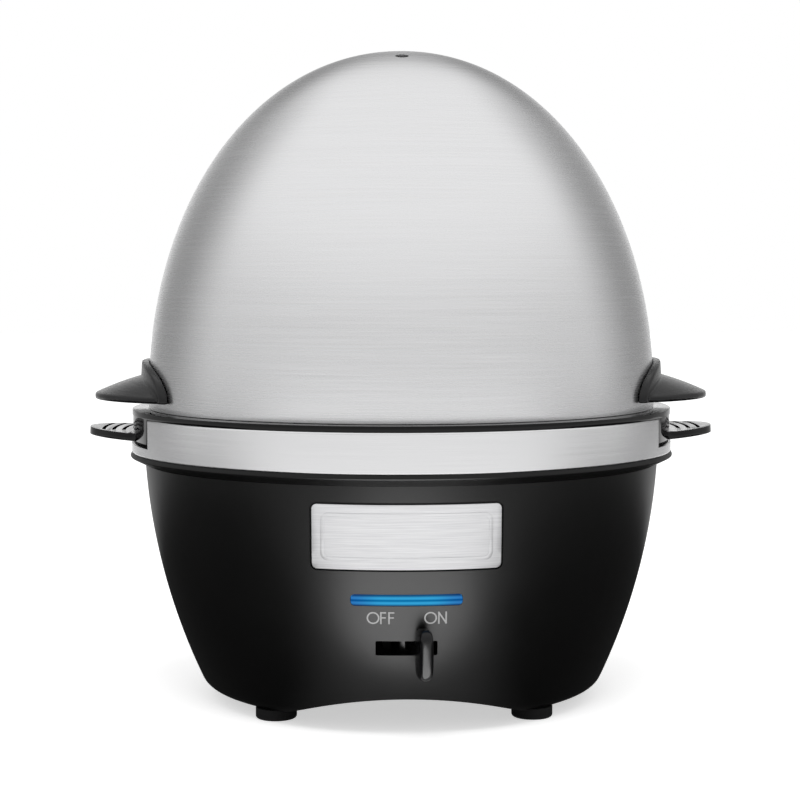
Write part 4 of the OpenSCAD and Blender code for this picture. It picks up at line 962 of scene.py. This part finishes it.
other = bpy.data.objects.new("handle_left", handle.data.copy())
bpy.context.collection.objects.link(other)
bpy.ops.object.select_all(action="DESELECT")
other.select_set(True)
bpy.context.view_layer.objects.active = other
other.scale = (-1, 1, 1)
bpy.ops.object.transform_apply()
bpy.ops.object.mode_set(mode="EDIT")
bpy.ops.mesh.select_all(action="SELECT")
bpy.ops.mesh.normals_make_consistent(inside=False)
bpy.ops.object.mode_set(mode="OBJECT")
fit(other, satin_phenolic, "handle_plastic", "lid", "lid_handle_left")

# Stage. A white counter in a white room. Grey cards, seen in reflections only, give steel and plastic
# their shading: a pale screen round the front, a flag behind, one at the rear of each side, and a dark
# one on the floor of each side. Its sizes and places are in metres.
ROOM_LIGHT = 0.8
COUNTER_SIZE = 8
COUNTER_WHITE = 0.82
COUNTER_LIFT = 0.55
COUNTER_MIRRORED = 0.25
SCREEN_R = 1.8
SCREEN_H = 1.5
SCREEN_LEVEL = 0.72
SCREEN_END = 0.9
FLAG_BEARING = 128
FLAG_OFF = 0.8
FLAG_Z = 0.16
FLAG_SIZE = (1.35, 3.0)
FLAG_LEVEL = 0.34
FLAG_SOFT = 0.9
BACK_FLAG_AT = (0, 1.5, 1.15)
BACK_FLAG_SIZE = (4.4, 2.0)
BACK_FLAG_LEVEL = 0.28
BACK_FLAG_SOFT = 0.8
FLOOR_FLAG_AT = (0.36, 0.03)
FLOOR_FLAG_SIZE = (0.76, 0.54)
FLOOR_FLAG_LEVEL = 0.04
FLOOR_FLAG_SOFT = 0.12


def plain_view(tree, mirrored=1):
    """One for the camera's rays, and a share for those that come off or through a surface."""
    ray = add_node(tree, "ShaderNodeLightPath")
    off = add_node(tree, "ShaderNodeMath", {"operation": "MAXIMUM"}, {
        0: ray.outputs["Is Glossy Ray"], 1: ray.outputs["Is Transmission Ray"]})
    part = add_node(tree, "ShaderNodeMath", {"operation": "MULTIPLY"}, {
        0: off.outputs["Value"], 1: mirrored})
    seen = add_node(tree, "ShaderNodeMath", {"operation": "MAXIMUM"}, {
        0: ray.outputs["Is Camera Ray"], 1: part.outputs["Value"]})
    return seen.outputs["Value"]


def hang(sheet, paper, cover, level):
    """Makes a sheet a grey card, seen in reflections only, that is clear where it isn't covered."""
    tree = paper.node_tree
    paper.cycles.emission_sampling = "NONE"
    clear = add_node(tree, "ShaderNodeBsdfTransparent")
    glow = add_node(tree, "ShaderNodeEmission", {}, {"Color": (1, 1, 1, 1), "Strength": level})
    grey = add_node(tree, "ShaderNodeMixShader", {}, {
        0: cover, 1: clear.outputs["BSDF"], 2: glow.outputs["Emission"]})
    add_node(tree, "ShaderNodeOutputMaterial", {}, {"Surface": grey.outputs["Shader"]})
    sheet.data.materials.append(paper)
    sheet.visible_camera = False
    sheet.visible_diffuse = False
    sheet.visible_transmission = False
    sheet.visible_shadow = False
    sheet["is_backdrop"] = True


def card(name, place, turn, size, level, soft):
    """A flat card, grey in its middle, that fades out towards its edge."""
    bpy.ops.object.select_all(action="DESELECT")
    bpy.ops.mesh.primitive_plane_add(size=2, location=place, rotation=turn)
    sheet = bpy.context.object
    sheet.name = name
    sheet.scale = (size[0] / 2, size[1] / 2, 1)
    paper, tree = new_finish(name)
    spot = add_node(tree, "ShaderNodeTexGradient", {"gradient_type": "SPHERICAL"}, {
        "Vector": add_node(tree, "ShaderNodeTexCoord").outputs["Object"]})
    cover = add_node(tree, "ShaderNodeMapRange", {"interpolation_type": "SMOOTHSTEP"}, {
        "Value": spot.outputs["Fac"], "From Max": soft})
    hang(sheet, paper, cover.outputs["Result"], level)


bpy.ops.object.select_all(action="DESELECT")
bpy.ops.mesh.primitive_plane_add(size=COUNTER_SIZE)
counter = bpy.context.object
counter.name = "counter"
white_counter, tree = new_finish("white_counter")
paint = add_node(tree, "ShaderNodeBsdfDiffuse", {}, {"Color": [COUNTER_WHITE] * 3 + [1]})
lift = add_node(tree, "ShaderNodeMath", {"operation": "MULTIPLY"}, {
    0: plain_view(tree, COUNTER_MIRRORED), 1: COUNTER_LIFT})
glow = add_node(tree, "ShaderNodeEmission", {}, {
    "Color": (1, 1, 1, 1), "Strength": lift.outputs["Value"]})
both = add_node(tree, "ShaderNodeAddShader", {}, {
    0: paint.outputs["BSDF"], 1: glow.outputs["Emission"]})
add_node(tree, "ShaderNodeOutputMaterial", {}, {"Surface": both.outputs["Shader"]})
counter.data.materials.append(white_counter)
counter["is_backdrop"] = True

world = bpy.data.worlds.new("white_room")
bpy.context.scene.world = world
world.use_nodes = True
tree = world.node_tree
tree.nodes.clear()
strength = add_node(tree, "ShaderNodeMapRange", {}, {
    "Value": plain_view(tree), "To Min": ROOM_LIGHT, "To Max": 1})
room = add_node(tree, "ShaderNodeBackground", {}, {
    "Color": (1, 1, 1, 1), "Strength": strength.outputs["Result"]})
add_node(tree, "ShaderNodeOutputWorld", {}, {"Surface": room.outputs["Background"]})

bpy.ops.object.select_all(action="DESELECT")
bpy.ops.mesh.primitive_cylinder_add(
    vertices=96, radius=SCREEN_R, depth=SCREEN_H, end_fill_type="NOTHING", location=(0, 0, SCREEN_H / 2))
screen = bpy.context.object
screen.name = "front_screen"
paper, tree = new_finish("front_screen")
spot = add_node(tree, "ShaderNodeSeparateXYZ", {}, {
    "Vector": add_node(tree, "ShaderNodeTexCoord").outputs["Object"]})
ahead = add_node(tree, "ShaderNodeMapRange", {"interpolation_type": "SMOOTHSTEP"}, {
    "Value": spot.outputs["Y"], "From Min": SCREEN_R * SCREEN_END, "From Max": 0})
below = add_node(tree, "ShaderNodeMapRange", {"interpolation_type": "SMOOTHSTEP"}, {
    "Value": spot.outputs["Z"], "From Min": SCREEN_H / 2, "From Max": -SCREEN_H / 4})
cover = add_node(tree, "ShaderNodeMath", {"operation": "MULTIPLY"}, {
    0: ahead.outputs["Result"], 1: below.outputs["Result"]})
hang(screen, paper, cover.outputs["Value"], SCREEN_LEVEL)
card("back_flag", BACK_FLAG_AT, (math.pi / 2, 0, 0), BACK_FLAG_SIZE, BACK_FLAG_LEVEL,
     BACK_FLAG_SOFT)

for side, name in ((-1, "left"), (1, "right")):
    bearing = math.radians(side * FLAG_BEARING)
    card("flag_" + name, (FLAG_OFF * math.sin(bearing), -FLAG_OFF * math.cos(bearing), FLAG_Z),
         (math.pi / 2, 0, bearing), FLAG_SIZE, FLAG_LEVEL, FLAG_SOFT)
    card("floor_flag_" + name, (side * FLOOR_FLAG_AT[0], FLOOR_FLAG_AT[1], MM), (0, 0, 0),
         FLOOR_FLAG_SIZE, FLOOR_FLAG_LEVEL, FLOOR_FLAG_SOFT)

# Lamps. A large soft box high in front, and a low card of light before the housing, which shines in
# the gloss of the housing and the lever alone. Places and sizes are in metres, and powers in watts.
KEY_AT = (0, -0.6, 1.4)
KEY_AIM = (0, 0, 0.1)
KEY_POWER = 8
KEY_SIZE = 0.9
LOW_CARD_AT = (0, -0.205, 0.004)
LOW_CARD_POWER = 0.46
LOW_CARD_SIZE = (0.15, 0.23)
bpy.ops.object.light_add(type="AREA", location=KEY_AT)
key = bpy.context.object
key.data.energy = KEY_POWER
key.data.shape = "DISK"
key.data.size = KEY_SIZE
key.rotation_euler = (Vector(KEY_AIM) - key.location).to_track_quat("-Z", "Y").to_euler()
key.visible_camera = False
key.visible_glossy = False
bpy.ops.object.light_add(type="AREA", location=LOW_CARD_AT)
low_card = bpy.context.object
low_card.data.energy = LOW_CARD_POWER
low_card.data.shape = "ELLIPSE"
low_card.data.size = LOW_CARD_SIZE[0]
low_card.data.size_y = LOW_CARD_SIZE[1]
low_card.rotation_euler = (math.pi, 0, 0)
low_card.visible_camera = False
low_card.visible_diffuse = False
card_side = bpy.data.collections.new("lit_by_card")
for piece in (housing, lever):
    card_side.objects.link(piece)
low_card.light_linking.receiver_collection = card_side

# Camera. In front and a little above, as far off as a table-top view, with a short telephoto lens.
CAMERA_OFF = 646.2
CAMERA_Z = 141.4
CAMERA_SIDE = math.radians(1.1)
CAMERA_DOWN = math.radians(3.75)
CAMERA_ROLL = math.radians(0.1)
SENSOR_W = 36
FOCAL_PX = 1905.5
FRAME_PX = 800
AXIS_PX = 1
camera_data = bpy.data.cameras.new("camera")
camera_data.sensor_width = SENSOR_W
camera_data.lens = FOCAL_PX / FRAME_PX * SENSOR_W
camera = bpy.data.objects.new("camera", camera_data)
bpy.context.collection.objects.link(camera)
camera.location = Vector((
    -CAMERA_OFF * math.sin(CAMERA_SIDE), -CAMERA_OFF * math.cos(CAMERA_SIDE), CAMERA_Z)) * MM
camera.rotation_euler = (math.pi / 2 - CAMERA_DOWN, CAMERA_ROLL, AXIS_PX / FOCAL_PX - CAMERA_SIDE)
scene = bpy.context.scene
scene.camera = camera
scene.view_settings.view_transform = "Standard"

low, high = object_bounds()
